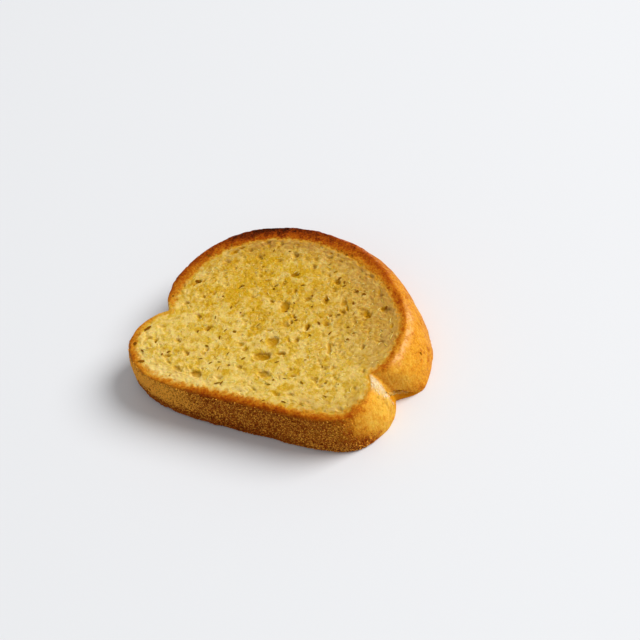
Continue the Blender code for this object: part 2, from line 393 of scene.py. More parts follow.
@dataclass(frozen=True)
class View:
    """Where the camera stands, and what it sees at each pixel of the picture.

    Attributes:
        aim: The point that the camera looks at.
        distance: How far the camera is from it.
        azimuth: The camera's direction from it, in degrees from +X.
        elevation: The camera's height over the horizon, in degrees.
        roll: How far the camera is turned on its axis, in degrees.
        lens: The focal length.
        sensor: The sensor's width.
        picture: The picture's width and height, in pixels.
    """

    aim: Triple = (11.4, 6.9, 11.0)
    distance: float = 689.1
    azimuth: float = -49.04
    elevation: float = 47.0
    roll: float = -20.8
    lens: float = 85.0
    sensor: float = 36.0
    picture: float = 640.0

    def turned(self) -> Matrix:
        """Return how the camera is turned."""
        return (Matrix.Rotation(math.radians(self.azimuth + 90.0), 4, "Z")
                @ Matrix.Rotation(math.radians(90.0 - self.elevation), 4, "X")
                @ Matrix.Rotation(math.radians(self.roll), 4, "Z"))

    def stand(self) -> Vector:
        """Return where the camera is."""
        return Vector(self.aim) + self.turned().to_3x3() @ Vector((0.0, 0.0, self.distance))

    def on_face(self, pixel: Pair) -> Array:
        """Find the place on the upper face that is seen at a pixel.

        Args:
            pixel: The pixel, counted from the picture's upper left corner.

        Returns:
            Its x and y.
        """
        half = self.picture / 2.0
        focal = self.lens / self.sensor * self.picture
        ray = self.turned().to_3x3() @ Vector((pixel[0] - half, half - pixel[1], -focal))
        stand = self.stand()
        hit = stand + ray * ((FACE_HEIGHT - stand.z) / ray.z)
        return np.array((hit.x, hit.y))

    def turn_on_face(self, pixel: Pair, tilt: float) -> float:
        """Turn a tilt in the picture into a direction on the upper face.

        Args:
            pixel: Where it is seen.
            tilt: The tilt in the picture, in degrees, with 90 pointing up.

        Returns:
            The direction, in radians from +X.
        """
        step = (pixel[0] + math.cos(math.radians(tilt)), pixel[1] - math.sin(math.radians(tilt)))
        across, along = self.on_face(step) - self.on_face(pixel)
        return math.atan2(along, across)


VIEW = View()


# ---------------- the fixed solid


@dataclass
class BreadSolid:
    """What the fixed solid says about the slice.

    Attributes:
        middle: The point that directions round the slice are counted from.
        rim_height: Where the crumb's rim is read, just under the upper face.
        foot_height: Where the outline of the underside is read.
        stations: How many directions an outline has.
        flake_rise: How high a herb flake's ridge stands over the face.
        weave_radius: Where the crumb's strands are as long as they are wide.
        weave_reach: Where the strands no longer follow the rim, and where they fully do.
    """

    middle: Pair = (-2.3, -16.8)
    rim_height: float = 21.75
    foot_height: float = 0.7
    stations: int = 1440
    flake_rise: float = 0.25
    weave_radius: float = 25.0
    weave_reach: Pair = (17.0, 6.0)

    def __post_init__(self) -> None:
        """Take a closed copy of the solid, and read its outlines."""
        self.body = self.copy_solid("closed_copy")
        self.rim = self.outline(self.rim_height)
        self.foot = self.outline(self.foot_height)
        self.inset = self.inset_map(self.rim)
        self.foot_inset = self.inset_map(self.foot)

    def copy_solid(self, name: str) -> Piece:
        """Copy the solid's node, with its loose triangles joined up.

        Args:
            name: The copy's name.

        Returns:
            The copy, one closed mesh.
        """
        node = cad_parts[NODE]
        piece = add(name, node.data.copy())
        piece.matrix_world = node.matrix_world
        with editing(piece):
            bpy.ops.mesh.remove_doubles(threshold=0.005 * MM)
            bpy.ops.mesh.normals_make_consistent(inside=False)
        bpy.ops.object.transform_apply(location=True, rotation=True, scale=True)
        return piece

    def outline(self, height: float) -> Array:
        """Measure how far the slice reaches in each direction at a height.

        Args:
            height: The height of the cut.

        Returns:
            The reach for each station, by its angle from +X.
        """
        ring = add("ring", self.body.data.copy())
        with editing(ring):
            bpy.ops.mesh.bisect(
                plane_co=(0.0, 0.0, height * MM), plane_no=(0.0, 0.0, 1.0),
                clear_inner=True, clear_outer=True, threshold=1e-7)
        points = points_of(ring)[:, :2] - self.middle
        ends = np.empty(len(ring.data.edges) * 2, dtype=np.int64)
        ring.data.edges.foreach_get("vertices", ends)
        bpy.data.objects.remove(ring, do_unlink=True)
        first, last = points[ends[0::2]], points[ends[1::2]]
        shares = np.linspace(0.0, 1.0, 24)[:, None, None]
        along = (first * (1.0 - shares) + last * shares).reshape(-1, 2)
        turn = np.arctan2(along[:, 1], along[:, 0]) % math.tau
        station = (turn / math.tau * self.stations).astype(int) % self.stations
        reach = np.zeros(self.stations)
        np.maximum.at(reach, station, np.hypot(along[:, 0], along[:, 1]))
        known = np.flatnonzero(reach)
        return np.interp(np.arange(self.stations), known, reach[known], period=self.stations)

    def turn_of(self, places: Array) -> Array:
        """Return the direction of each place from the middle, in degrees from 0 to 360."""
        return np.degrees(np.arctan2(places[:, 1] - self.middle[1],
                                     places[:, 0] - self.middle[0])) % 360.0

    def on_side(self, turn: float, height: float) -> Array:
        """Return a place just outside the slice's side.

        Args:
            turn: Its direction from the middle, in degrees.
            height: Its height.

        Returns:
            The place.
        """
        clear = 3.0
        station = (turn % 360.0) / 360.0 * self.stations
        reach = np.interp(station, np.arange(self.stations), self.rim) + clear
        angle = math.radians(turn)
        return np.array((self.middle[0] + reach * math.cos(angle),
                         self.middle[1] + reach * math.sin(angle), height))

    def weave(self, places: Array, inset: FaceMap) -> Array:
        """Return coordinates that follow the rim, along which the crumb's strands run.

        Args:
            places: One row for each place, with x and y first.
            inset: The distance to the rim.

        Returns:
            Three coordinates for each place: two round the slice, one in from the rim.
        """
        turn = np.radians(self.turn_of(places))
        around = self.weave_radius
        return np.stack((around * np.cos(turn), around * np.sin(turn), inset.at(places)), axis=1)

    def inset_map(self, reach: Array) -> FaceMap:
        """Map the distance to an outline, above zero inside it.

        Args:
            reach: The outline, as how far it reaches in each direction.

        Returns:
            The map.
        """
        grid = FaceMap.blank(0.5)
        places = grid.places()
        turns = np.arange(self.stations) / self.stations * math.tau
        edge = self.middle + reach[:, None] * np.stack((np.cos(turns), np.sin(turns)), axis=1)
        tree = KDTree(len(edge))
        for number, (x, y) in enumerate(edge):
            tree.insert((x, y, 0.0), number)
        tree.balance()
        gap = np.array([tree.find((x, y, 0.0))[2] for x, y in places])
        out = np.hypot(*(places - self.middle).T)
        allowed = np.interp(self.turn_of(places), np.degrees(turns), reach, period=360.0)
        return grid.fill(gap * np.where(out < allowed, 1.0, -1.0))

    def flakes(self, level: FaceMap) -> list[tuple[Array, Array]]:
        """Find the herb flakes that stand on the upper face.

        Args:
            level: The height of the bare face.

        Returns:
            The two tips of each flake.
        """
        points = points_of(self.body)
        rise = points[:, 2] - level.at(points)
        raised = np.flatnonzero((rise > self.flake_rise) & (self.inset.at(points) > 1.0))
        joined = {int(i): [] for i in raised}
        for edge in self.body.data.edges:
            for here, there in (edge.vertices, reversed(edge.vertices)):
                if here in joined:
                    joined[here].append(there)
        found = []
        for top, around in joined.items():
            near = points[around]
            spans = np.linalg.norm(near[:, None] - near[None, :], axis=2)
            first, last = np.unravel_index(spans.argmax(), spans.shape)
            found.append((near[first], near[last]))
        return found


@dataclass(frozen=True)
class PoreKind:
    """One size of pore in the crumb.

    Attributes:
        count: How many are scattered.
        lengths: The shortest and longest, in millimetres.
        widths: Their widths, as shares of their length.
        depths: Their depths, as shares of their width.
        roundness: The bowl's shape: 0.5 has a sharp lip, 1 and more a soft one.
    """

    count: int
    lengths: Pair
    widths: Pair
    depths: Pair
    roundness: float = 0.5


@dataclass(frozen=True)
class Hollow:
    """One hollow of the crumb that the picture shows.

    Attributes:
        pixel: Where it is seen.
        length: Its length.
        width: Its width.
        depth: How deep it is.
        tilt: The direction of its length in the picture, in degrees.
        brown: How much its bottom is browned, from 0 to 1.
    """

    pixel: Pair
    length: float
    width: float
    depth: float
    tilt: float
    brown: float

    def bowl(self, depth: float) -> tuple[float, ...]:
        """Shape it as a bowl.

        Args:
            depth: How deep the bowl is, or how strong its stain.

        Returns:
            Its x, y, half length, half width, depth and turn.
        """
        x, y = VIEW.on_face(self.pixel)
        turn = VIEW.turn_on_face(self.pixel, self.tilt)
        return x, y, self.length / 2.0, self.width / 2.0, depth, turn


MIDDLE_HOLLOWS = (
    Hollow((285.2, 306.5), 7.8, 4.8, 1.5, 80.0, 0.60),
    Hollow((294.6, 316.7), 4.8, 2.0, 0.8, -60.0, 0.80),
    Hollow((291.5, 322.6), 2.3, 1.9, 1.0, 90.0, 0.75),
    Hollow((283.8, 323.8), 3.7, 2.8, 0.6, 0.0, 0.30),
    Hollow((271.0, 322.0), 3.4, 2.3, 0.5, 90.0, 0.25),
    Hollow((269.0, 330.4), 4.2, 2.0, 0.7, 0.0, 0.45),
    Hollow((273.2, 342.0), 6.6, 6.2, 1.0, 0.0, 0.50),
    Hollow((261.0, 356.7), 9.0, 4.8, 1.8, -5.0, 0.35),
    Hollow((264.0, 374.2), 6.6, 3.6, 1.0, 0.0, 0.14),
    Hollow((240.6, 344.0), 3.6, 3.0, 0.7, 0.0, 0.20),
    Hollow((307.3, 327.2), 3.6, 2.5, 0.9, 70.0, 0.90),
    Hollow((288.7, 340.2), 3.6, 1.7, 0.7, -70.0, 0.35),
    Hollow((289.7, 369.6), 2.4, 2.0, 0.5, 0.0, 0.30),
    Hollow((267.2, 280.6), 4.2, 1.8, 0.4, 0.0, 0.50),
    Hollow((262.0, 300.5), 2.4, 2.0, 0.5, 0.0, 0.35),
)
RIGHT_HOLLOWS = (
    Hollow((329.4, 348.2), 9.0, 2.4, 0.6, 88.0, 0.55),
    Hollow((332.9, 367.5), 3.4, 2.8, 0.5, 0.0, 0.40),
    Hollow((326.2, 299.1), 4.8, 2.3, 0.9, 100.0, 0.90),
    Hollow((330.0, 315.3), 2.7, 1.9, 0.7, 0.0, 0.80),
    Hollow((329.0, 275.7), 2.6, 2.2, 0.7, 0.0, 0.55),
    Hollow((336.8, 280.2), 5.4, 1.8, 0.9, 33.0, 0.80),
    Hollow((333.5, 290.4), 3.4, 3.0, 0.6, 0.0, 0.35),
    Hollow((343.7, 303.1), 5.2, 3.2, 0.8, 105.0, 0.40),
    Hollow((347.2, 308.2), 4.6, 1.4, 0.8, 95.0, 0.80),
    Hollow((367.0, 314.0), 5.8, 3.8, 0.8, -45.0, 0.80),
    Hollow((382.9, 308.6), 2.6, 2.0, 0.6, 30.0, 0.85),
    Hollow((391.8, 325.5), 3.4, 1.8, 0.5, 80.0, 0.70),
    Hollow((368.9, 330.6), 3.8, 2.0, 0.6, 75.0, 0.40),
    Hollow((379.5, 292.0), 4.2, 2.2, 0.4, 80.0, 0.45),
    Hollow((368.9, 275.7), 4.4, 1.7, 0.5, -45.0, 0.50),
    Hollow((359.0, 264.9), 3.0, 1.8, 0.5, -30.0, 0.60),
    Hollow((350.2, 256.0), 3.4, 2.3, 0.7, -60.0, 0.85),
    Hollow((330.6, 253.1), 2.6, 1.8, 0.5, 0.0, 0.50),
)
CROWN_HOLLOWS = (
    Hollow((197.5, 281.3), 3.4, 2.2, 1.4, 20.0, 1.00),
    Hollow((193.5, 284.1), 2.6, 1.8, 0.9, 50.0, 0.80),
    Hollow((203.3, 280.6), 3.6, 1.8, 0.7, 40.0, 0.50),
    Hollow((234.6, 251.8), 5.6, 3.2, 0.9, 30.0, 0.80),
    Hollow((242.3, 247.6), 3.8, 1.5, 0.8, 15.0, 0.95),
    Hollow((235.6, 261.7), 2.8, 2.2, 0.5, 0.0, 0.55),
    Hollow((269.6, 245.5), 3.2, 2.0, 0.6, 90.0, 0.65),
    Hollow((278.4, 247.6), 2.6, 1.4, 0.5, 15.0, 0.60),
    Hollow((298.4, 244.8), 2.6, 1.3, 0.5, -20.0, 0.70),
    Hollow((214.2, 293.2), 4.0, 2.4, 0.7, 60.0, 0.40),
)
FOOT_HOLLOWS = (
    Hollow((196.0, 374.1), 6.8, 3.2, 1.3, -20.0, 0.25),
    Hollow((179.1, 369.9), 4.8, 2.4, 0.9, -40.0, 0.20),
    Hollow((168.0, 361.0), 7.2, 1.5, 0.6, -50.0, 0.15),
    Hollow((153.9, 358.7), 3.8, 3.2, 0.4, -30.0, 0.10),
    Hollow((156.0, 339.7), 3.6, 2.6, 0.6, 50.0, 0.45),
    Hollow((203.0, 352.7), 2.5, 1.8, 0.7, 0.0, 0.35),
    Hollow((252.2, 389.0), 4.8, 2.0, 0.7, -25.0, 0.20),
    Hollow((276.4, 394.2), 4.8, 2.3, 0.8, -15.0, 0.20),
    Hollow((290.0, 395.0), 4.4, 2.2, 0.6, -20.0, 0.20),
    Hollow((313.6, 380.5), 4.8, 1.7, 0.7, -25.0, 0.30),
)


@dataclass
class CrumbRelief:
    """The uneven, open surface of a cut face.

    Attributes:
        solid: The fixed solid.
        coarse: The kinds of pore that are cut out of the bare face.
        fine: The kind that covers everything, the larger pores too.
        seed: Which random draw it is.
        inset: The distance to the face's rim.
        crust_width: How far the crust reaches on to the face.
        seen: The hollows that the picture shows.
        cell: The grid's spacing.
        fine_share: How deep the fine pores are on top of the others.
        strand_height: How high the walls between the pores stand.
        unevenness: How deep the soft unevenness between the pores is.
        rim_fade: Where the relief begins and is complete, from the crust's inner edge.
        turn_near_rim: How freely the pores lie near the rim, in degrees.
        turn_inside: How freely they lie deep inside.
        inside_from: How far in the second of these is reached.
        bowl_roundness: The shape of the seen hollows, as for a kind of pore.
    """

    solid: BreadSolid
    coarse: tuple[PoreKind, ...]
    fine: PoreKind
    seed: int
    inset: FaceMap
    crust_width: FaceMap
    seen: tuple[Hollow, ...] = ()
    cell: float = 0.15
    fine_share: float = 0.55
    strand_height: float = 0.15
    unevenness: float = 0.18
    rim_fade: Pair = (-1.6, 0.8)
    turn_near_rim: float = 18.0
    turn_inside: float = 75.0
    inside_from: float = 26.0
    bowl_roundness: float = 1.1

    def __post_init__(self) -> None:
        """Start with no pores."""
        self.draw = np.random.default_rng(self.seed)
        self.dents = FaceMap.blank(self.cell)

    def scattered(self, kind: PoreKind) -> Array:
        """Draw the pores of one kind.

        Args:
            kind: Their sizes and count.

        Returns:
            One row for each pore: x, y, half length, half width, depth and turn.
        """
        draw = self.draw
        low = self.dents.low
        span = np.array(self.dents.values.shape[::-1]) * self.cell
        places = low + span * draw.random((kind.count * 2, 2))
        gap = self.inset.at(places)
        openness = 0.5 + 0.5 * lattice_noise(places, 11.0, self.seed + 40)
        kept = (gap > 0.2) & (draw.random(len(places)) < 0.35 + 0.65 * openness)
        places, gap, openness = places[kept], gap[kept], openness[kept]
        count = len(places)
        freedom = np.interp(gap, (0.0, self.inside_from), (self.turn_near_rim, self.turn_inside))
        turn = self.inset.contour(places) + np.radians(freedom) * draw.uniform(-1.0, 1.0, count)
        size = draw.random(count) ** 1.7
        length = kind.lengths[0] + (kind.lengths[1] - kind.lengths[0]) * size
        length *= 0.8 + 0.4 * openness
        width = length * draw.uniform(*kind.widths, count)
        depth = width * draw.uniform(*kind.depths, count)
        return np.stack((*places.T, length / 2.0, width / 2.0, depth, turn), axis=1)

    def press(self, dents: Array, bowl: tuple[float, ...], roundness: float) -> None:
        """Press a bowl into a grid of depths, as deep as the deepest there.

        Args:
            dents: The grid of depths.
            bowl: Its x, y, half length, half width, depth and turn.
            roundness: Its shape: 0.5 has a sharp lip, 1 and more a soft one.
        """
        rows, columns = dents.shape
        x, y, half_length, half_width, depth, turn = bowl
        column, row = (np.array((x, y)) - self.dents.low) / self.cell
        reach = int(half_length / self.cell) + 1
        left, right = max(int(column) - reach, 0), min(int(column) + reach + 2, columns)
        down, up = max(int(row) - reach, 0), min(int(row) + reach + 2, rows)
        if left >= right or down >= up:
            return
        across = (np.arange(left, right) - column)[None, :] * self.cell
        ahead = (np.arange(down, up) - row)[:, None] * self.cell
        sine, cosine = math.sin(turn), math.cos(turn)
        u = (across * cosine + ahead * sine) / half_length
        v = (ahead * cosine - across * sine) / half_width
        depths = depth * np.clip(1.0 - u * u - v * v, 0.0, 1.0) ** roundness
        window = dents[down:up, left:right]
        np.maximum(window, depths, out=window)

    def strands(self, places: Array) -> Array:
        """Draw the thin walls of the crumb, which run along the rim near it.

        Args:
            places: Where they are wanted.

        Returns:
            How high they stand at each place, from 0 to 1.
        """
        plain = rough_noise(places, 2.0, 2, self.seed + 80)
        along = rough_noise(self.solid.weave(places, self.inset), 1.6, 2, self.seed + 84)
        near = ease(self.inset.at(places), *self.solid.weave_reach)
        return (1.0 - np.abs(plain * (1.0 - near) + along * near)) ** 3

    def build(self, large: FaceMap | None = None) -> FaceMap:
        """Work out how deep the crumb lies under the bare face.

        Args:
            large: The solid's own pores, as depths.

        Returns:
            The map of depths.
        """
        shape = self.dents.values.shape
        places = self.dents.places()
        wander = np.stack([0.5 * rough_noise(places, 4.0, 2, self.seed + 60)
                           + 0.34 * lattice_noise(places, 1.2, self.seed + 63),
                           0.5 * rough_noise(places, 4.0, 2, self.seed + 70)
                           + 0.34 * lattice_noise(places, 1.2, self.seed + 73)], axis=1)
        coarse = np.zeros(shape)
        if large is not None:
            coarse = large.at(places).reshape(shape)
        for kind in self.coarse:
            for bowl in self.scattered(kind):
                self.press(coarse, bowl, kind.roundness)
        fine = np.zeros(shape)
        for bowl in self.scattered(self.fine):
            self.press(fine, bowl, self.fine.roundness)
        dents = self.dents.fill(coarse + self.fine_share * fine)
        deep, stain = np.zeros(shape), np.zeros(shape)
        for hollow in self.seen:
            self.press(deep, hollow.bowl(hollow.depth), self.bowl_roundness)
            self.press(stain, hollow.bowl(hollow.brown), self.bowl_roundness)
        deep = self.dents.fill(deep).at(places + 0.9 * wander)
        self.brown = self.dents.fill(self.dents.fill(stain).at(places + 0.9 * wander))
        total = dents.at(places + wander) * ease(deep, 1.2, 0.1)
        total -= self.strand_height * (self.strands(places) - 0.4)
        total += self.unevenness * rough_noise(places, 3.2, 3, self.seed + 90)
        beyond = self.inset.at(places) - self.crust_width.at(places)
        return self.dents.fill(total * ease(beyond, *self.rim_fade) + deep)


@dataclass(frozen=True)
class Bake:
    """How the crust is baked in one direction.

    Attributes:
        turn: The direction from the middle, in degrees from +X.
        edge: The browning at the rim, from 0, straw, to 1, burnt.
        wall: The browning of the side.
        band: How far the crust reaches on to the cut face.
        down: How far the rim's browning reaches down the side.
        toast: How toasted the crumb next to the crust is, from -1, fresh and pale, to 1.
    """

    turn: float
    edge: float
    wall: float
    band: float
    down: float
    toast: float


@dataclass
class Sites:
    """Where the slice's vertices lie, for what its finish reads.

    Attributes:
        solid: The fixed solid.
        points: The vertices, one row each.
        right_notch: The direction of the crease at the right notch.
        lip: How high the torn lip begins there, and how many degrees on it reaches the floor.
        edge: Where the rim ends and the outside begins, as distances inside the rim.
    """

    solid: BreadSolid
    points: Array
    right_notch: float = 352.7
    lip: Pair = (9.5, 10.9)
    edge: Pair = (0.6, -0.4)

    def __post_init__(self) -> None:
        """Measure heights, directions and distances."""
        height, run = self.lip
        self.height = self.points[:, 2]
        self.turn = self.solid.turn_of(self.points)
        self.past_crease = turned_from(self.right_notch, self.turn)
        self.over_lip = self.height - height * (1.0 - self.past_crease / run)
        self.rim_gap = self.solid.inset.at(self.points)
        self.foot_gap = self.solid.foot_inset.at(self.points)
        self.outside = ease(self.rim_gap, *self.edge)
        self.wander = 0.35 * rough_noise(self.points[:, :2], 3.0, 2, 51)


@dataclass
class ToastedSlice:
    """The slice itself, crumb and crust, as one closed mesh.

    Attributes:
        solid: The fixed solid.
        voxel: The spacing of the mesh before it is thinned.
        triangles: How many triangles each part keeps.
        face_above: What lies higher than this and inside the rim is the upper face.
        under_below: What lies lower than this and inside the foot's outline is the underside.
        wall_above: Higher than this the side is all crust, lower the underside's crumb begins.
        edge_gap: How far inside the rim the face's relief begins.
        flake_allowance: A dip shallower than this isn't a pore.
        level_cell: The grid of the bare face's height.
        level_blur: How far that is blurred, in cells.
        level_outlier: A point further than this from the bare face belongs to a pore or flake.
        pore_cell: The grid on which the solid's pores are read.
        large_depth: How much deeper the solid's pores are pressed.
        crust_skin: How far the crust is drawn in before its relief is added.
        crown_bumps: How much rougher the crust is round the upper left.
        coarse_pores: The pores of the upper face.
        fine_pores: The finest ones.
        under_pores: The pores of the underside.
        under_fine: The finest ones there.
        left_notch: The direction of the bare crumb at the left notch.
        crease: The top and the foot of the crease where the crust tore.
        foot: Where round the slice the crust is mealy and rough.
        crown: Where its bumps are rougher.
        shaded: Where the foot is browner and darker low down, towards the floor: partly painted shade.
        left_wall: Where it is browner and darker from the middle down: partly painted shade.
        right_wall: Where it is browner and darker low down past the shaded part: partly painted shade.
        dome_side: Where the dome's wall slants out, from the crease on.
        shoulder: Where it slants out most, from the crease on.
        blushing: Where the wall is browner over the torn lip, from the crease on.
        greasy: Where it is greasy, with a glossy coat and a painted highlight, from the crease on.
        greasy_band: How far past the face's edge it is.
        baking: The crust's browning, all the way round.
        buttered: Golden patches, as x, y, radius and strength; a fresh one is less than 0.
        dried: Dull, drier patches, in the same way.
    """

    solid: BreadSolid
    voxel: float = 0.3
    triangles: tuple[tuple[str, int], ...] = (
        ("underside", 30_000), ("crust", 52_000), ("face", 108_000))
    face_above: float = 11.0
    under_below: float = 2.6
    wall_above: float = 2.0
    edge_gap: float = 0.35
    flake_allowance: float = 0.06
    level_cell: float = 1.0
    level_blur: float = 2.2
    level_outlier: float = 0.12
    pore_cell: float = 0.25
    large_depth: float = 0.95
    crust_skin: float = 0.22
    crown_bumps: float = 1.2

    coarse_pores: tuple[PoreKind, ...] = (
        PoreKind(40, (3.0, 4.6), (0.4, 0.75), (0.10, 0.20), 1.0),
        PoreKind(900, (1.6, 3.0), (0.35, 0.75), (0.12, 0.28), 1.0),
        PoreKind(1700, (0.9, 1.7), (0.45, 0.9), (0.2, 0.40), 0.9),
    )
    fine_pores: PoreKind = PoreKind(3200, (0.7, 1.1), (0.5, 1.0), (0.15, 0.32), 0.8)
    under_pores: tuple[PoreKind, ...] = (
        PoreKind(90, (2.4, 4.4), (0.5, 0.8), (0.25, 0.4), 0.7),
        PoreKind(1500, (1.2, 2.6), (0.5, 0.9), (0.25, 0.45), 0.7),
    )
    under_fine: PoreKind = PoreKind(4000, (1.0, 1.6), (0.6, 1.0), (0.25, 0.4), 0.7)

    left_notch: float = 175.4
    crease: tuple[Pair, Pair] = ((52.3, -23.8), (59.7, -19.8))
    foot: Stretch = Stretch(178.0, 186.0, 318.0, 330.0)
    crown: Stretch = Stretch(92.0, 112.0, 150.0, 170.0)
    shaded: Stretch = Stretch(186.0, 200.0, 280.0, 306.0)
    left_wall: Stretch = Stretch(196.0, 206.0, 252.0, 266.0)
    right_wall: Stretch = Stretch(312.0, 326.0, 334.0, 345.0)
    dome_side: Stretch = Stretch(2.0, 8.0, 46.0, 66.0)
    shoulder: Stretch = Stretch(9.0, 16.0, 22.0, 34.0)
    blushing: Stretch = Stretch(3.0, 6.0, 12.0, 17.0)
    greasy: Stretch = Stretch(6.0, 14.0, 30.0, 46.0)
    greasy_band: Stretch = Stretch(0.9, 1.5, 3.0, 6.5)
    baking: tuple[Bake, ...] = (
        Bake(0.0, 0.46, 0.17, 2.1, 3.0, 0.60),
        Bake(12.0, 0.66, 0.26, 3.7, 0.6, 0.75),
        Bake(25.0, 0.60, 0.32, 2.8, 1.4, 0.75),
        Bake(46.0, 0.60, 0.39, 4.2, 2.0, 0.75),
        Bake(58.0, 0.66, 0.48, 5.2, 2.5, 0.75),
        Bake(70.0, 0.68, 0.56, 6.0, 3.0, 0.75),
        Bake(95.0, 0.86, 0.64, 7.0, 3.0, 0.85),
        Bake(112.0, 0.97, 0.68, 7.6, 3.0, 0.85),
        Bake(122.0, 0.97, 0.68, 7.6, 3.0, 0.75),
        Bake(138.0, 0.76, 0.60, 7.4, 3.0, 0.35),
        Bake(157.0, 0.64, 0.54, 6.2, 3.0, 0.20),
        Bake(169.0, 0.50, 0.42, 4.0, 3.0, 0.10),
        Bake(175.4, 0.05, 0.12, 1.4, 3.0, 0.00),
        Bake(182.0, 0.34, 0.28, 1.8, 3.0, 0.00),
        Bake(190.0, 0.48, 0.42, 2.9, 3.0, 0.00),
        Bake(200.0, 0.52, 0.34, 3.1, 2.5, -0.20),
        # From 207 to 224 degrees the side is paler: partly painted fill light on the foot's left end.
        Bake(207.0, 0.40, 0.26, 2.7, 3.5, -0.50),
        Bake(215.0, 0.36, 0.20, 2.6, 4.0, -0.60),
        Bake(224.0, 0.38, 0.23, 2.6, 3.5, -0.55),
        Bake(233.0, 0.46, 0.36, 2.9, 2.5, -0.40),
        Bake(243.0, 0.62, 0.54, 3.5, 1.8, -0.30),
        Bake(286.0, 0.64, 0.62, 3.6, 1.8, -0.25),
        Bake(312.0, 0.62, 0.58, 3.1, 2.0, 0.10),
        Bake(322.0, 0.56, 0.42, 3.2, 5.0, 0.35),
        Bake(331.0, 0.54, 0.40, 3.0, 5.0, 0.35),
        Bake(339.0, 0.42, 0.10, 2.4, 5.0, 0.50),
        Bake(348.0, 0.16, 0.08, 0.8, 3.0, 0.20),
        Bake(352.7, 0.05, 0.05, 0.4, 2.0, 0.00),
        Bake(355.0, 0.33, 0.20, 0.9, 2.0, 0.05),
    )
    buttered: Patches = (
        (-28.0, 30.0, 9.0, 1.00),
        (-33.0, 14.0, 16.0, 0.65),
        (-12.0, 12.0, 24.0, 0.55),
        (14.0, 14.0, 20.0, 0.45),
        (-38.0, -6.0, 12.0, 0.25),
        (0.0, -12.0, 9.0, 0.30),
        (-52.0, -24.0, 15.0, -0.40),
    )
    dried: Patches = (
        (44.0, 6.0, 24.0, 0.68),
        (26.0, 34.0, 18.0, 0.50),
        (0.0, 44.0, 14.0, 0.30),
        (-38.0, 38.0, 10.0, 0.2),
    )

    def baked(self, places: Array, column: str) -> Array:
        """Read the baking at some places.

        Args:
            places: One row for each place, with x and y first.
            column: Which number of a Bake is read.

        Returns:
            One number for each place.
        """
        turns = [row.turn for row in self.baking]
        values = [getattr(row, column) for row in self.baking]
        return np.interp(self.solid.turn_of(places), turns, values, period=360.0)

    def blank(self) -> Piece:
        """Return the closed, evenly meshed body that is then shaped."""
        piece = self.solid.copy_solid("toasted_slice")
        apply_modifier(piece, "REMESH", mode="VOXEL", voxel_size=self.voxel * MM)
        apply_modifier(piece, "SMOOTH", factor=0.5, iterations=2)
        return piece

    def parts_of(self, points: Array) -> dict[str, Array]:
        """Tell the cut faces and the crust apart.

        Args:
            points: The mesh's vertices.

        Returns:
            For each part, which of the vertices belong to it.
        """
        height = points[:, 2]
        face = (height > self.face_above) & (self.solid.inset.at(points) > self.edge_gap)
        under = (height < self.under_below) & (self.solid.foot_inset.at(points) > 1.0)
        return {"face": face, "underside": under, "crust": ~(face | under)}

    def read_face(self, points: Array, face: Array) -> tuple[FaceMap, FaceMap]:
        """Tell the bare upper face from the pores in it.

        Args:
            points: The mesh's vertices.
            face: Which of them belong to the upper face.

        Returns:
            The height of the bare face, and the depth of the solid's pores.
        """
        there = points[face]
        level = FaceMap.blank(self.level_cell).mean_of(there, there[:, 2], self.level_blur)
        for _ in range(2):
            plain = np.abs(there[:, 2] - level.at(there)) < self.level_outlier
            level = level.mean_of(there[plain], there[plain, 2], self.level_blur)
        heights = FaceMap.blank(self.pore_cell).mean_of(there, there[:, 2], 0.8)
        depth = level.at(heights.places()) - heights.values.ravel()
        known = self.solid.inset.at(heights.places()) > self.edge_gap
        depth = np.where(known & (depth > self.flake_allowance), depth, 0.0)
        return level, heights.fill(depth * self.large_depth)

    def build(self) -> Piece:
        """Shape the crumb and the crust.

        Returns:
            The piece, with what its finish reads.
        """
        solid = self.solid
        piece = self.blank()
        points = points_of(piece)
        normals = normals_of(piece)
        LOG.info("remeshed: %d vertices", len(points))
        rim_gap = solid.inset.at(points)
        parts = self.parts_of(points)
        face, under = parts["face"], parts["underside"]
        self.level, large = self.read_face(points, face)
        band = FaceMap.blank(0.5)
        band = band.fill(self.baked(band.places(), "band"))
        upper = CrumbRelief(solid, self.coarse_pores, self.fine_pores, 3, solid.inset, band,
                            MIDDLE_HOLLOWS + RIGHT_HOLLOWS + CROWN_HOLLOWS + FOOT_HOLLOWS)
        self.dents = upper.build(large)
        self.browned = upper.brown
        self.under_dents = CrumbRelief(solid, self.under_pores, self.under_fine, 8,
                                       solid.foot_inset, band).build()
        swell = 0.13 * rough_noise(points[:, :2], 7.0, 2, 21)
        shaped = points.copy()
        shaped[face, 2] = (self.level.at(points) + swell - self.dents.at(points))[face]
        rise = self.under_dents.at(points)
        shaped[under, 2] = np.maximum(points[:, 2], rise)[under]
        shaped += normals * self.crust_relief(points, face | under, rim_gap)[:, None]
        move_points(piece, inside_box(shaped))
        for region, triangles in self.triangles:
            inside = self.parts_of(points_of(piece))
            thin(piece, inside[region], triangles)
        only(piece)
        bpy.ops.object.shade_smooth()
        self.mark(piece)
        finish_piece(piece, BreadFinish().material(), Slot.CRUMB)
        return piece

    def spots(self, points: Array, patches: Patches) -> Array:
        """Add up soft round patches on the face.

        Args:
            points: Where they are wanted.
            patches: Their x, y, radius and strength.

        Returns:
            One number for each point, at most 1.
        """
        total = np.zeros(len(points))
        for x, y, radius, strength in patches:
            gap = np.hypot(points[:, 0] - x, points[:, 1] - y) / radius
            total += strength * np.exp(-gap * gap)
        return np.minimum(total, 1.0)

    def past_edge(self, at: Sites) -> Array:
        """Return how far past the upper face's edge each vertex lies, outward and down."""
        lead = (0.9 + 1.6 * self.shoulder.at(at.past_crease)) * self.dome_side.at(at.past_crease)
        return np.hypot(np.maximum(FACE_HEIGHT - at.height, 0.0), np.maximum(lead - at.rim_gap, 0.0))

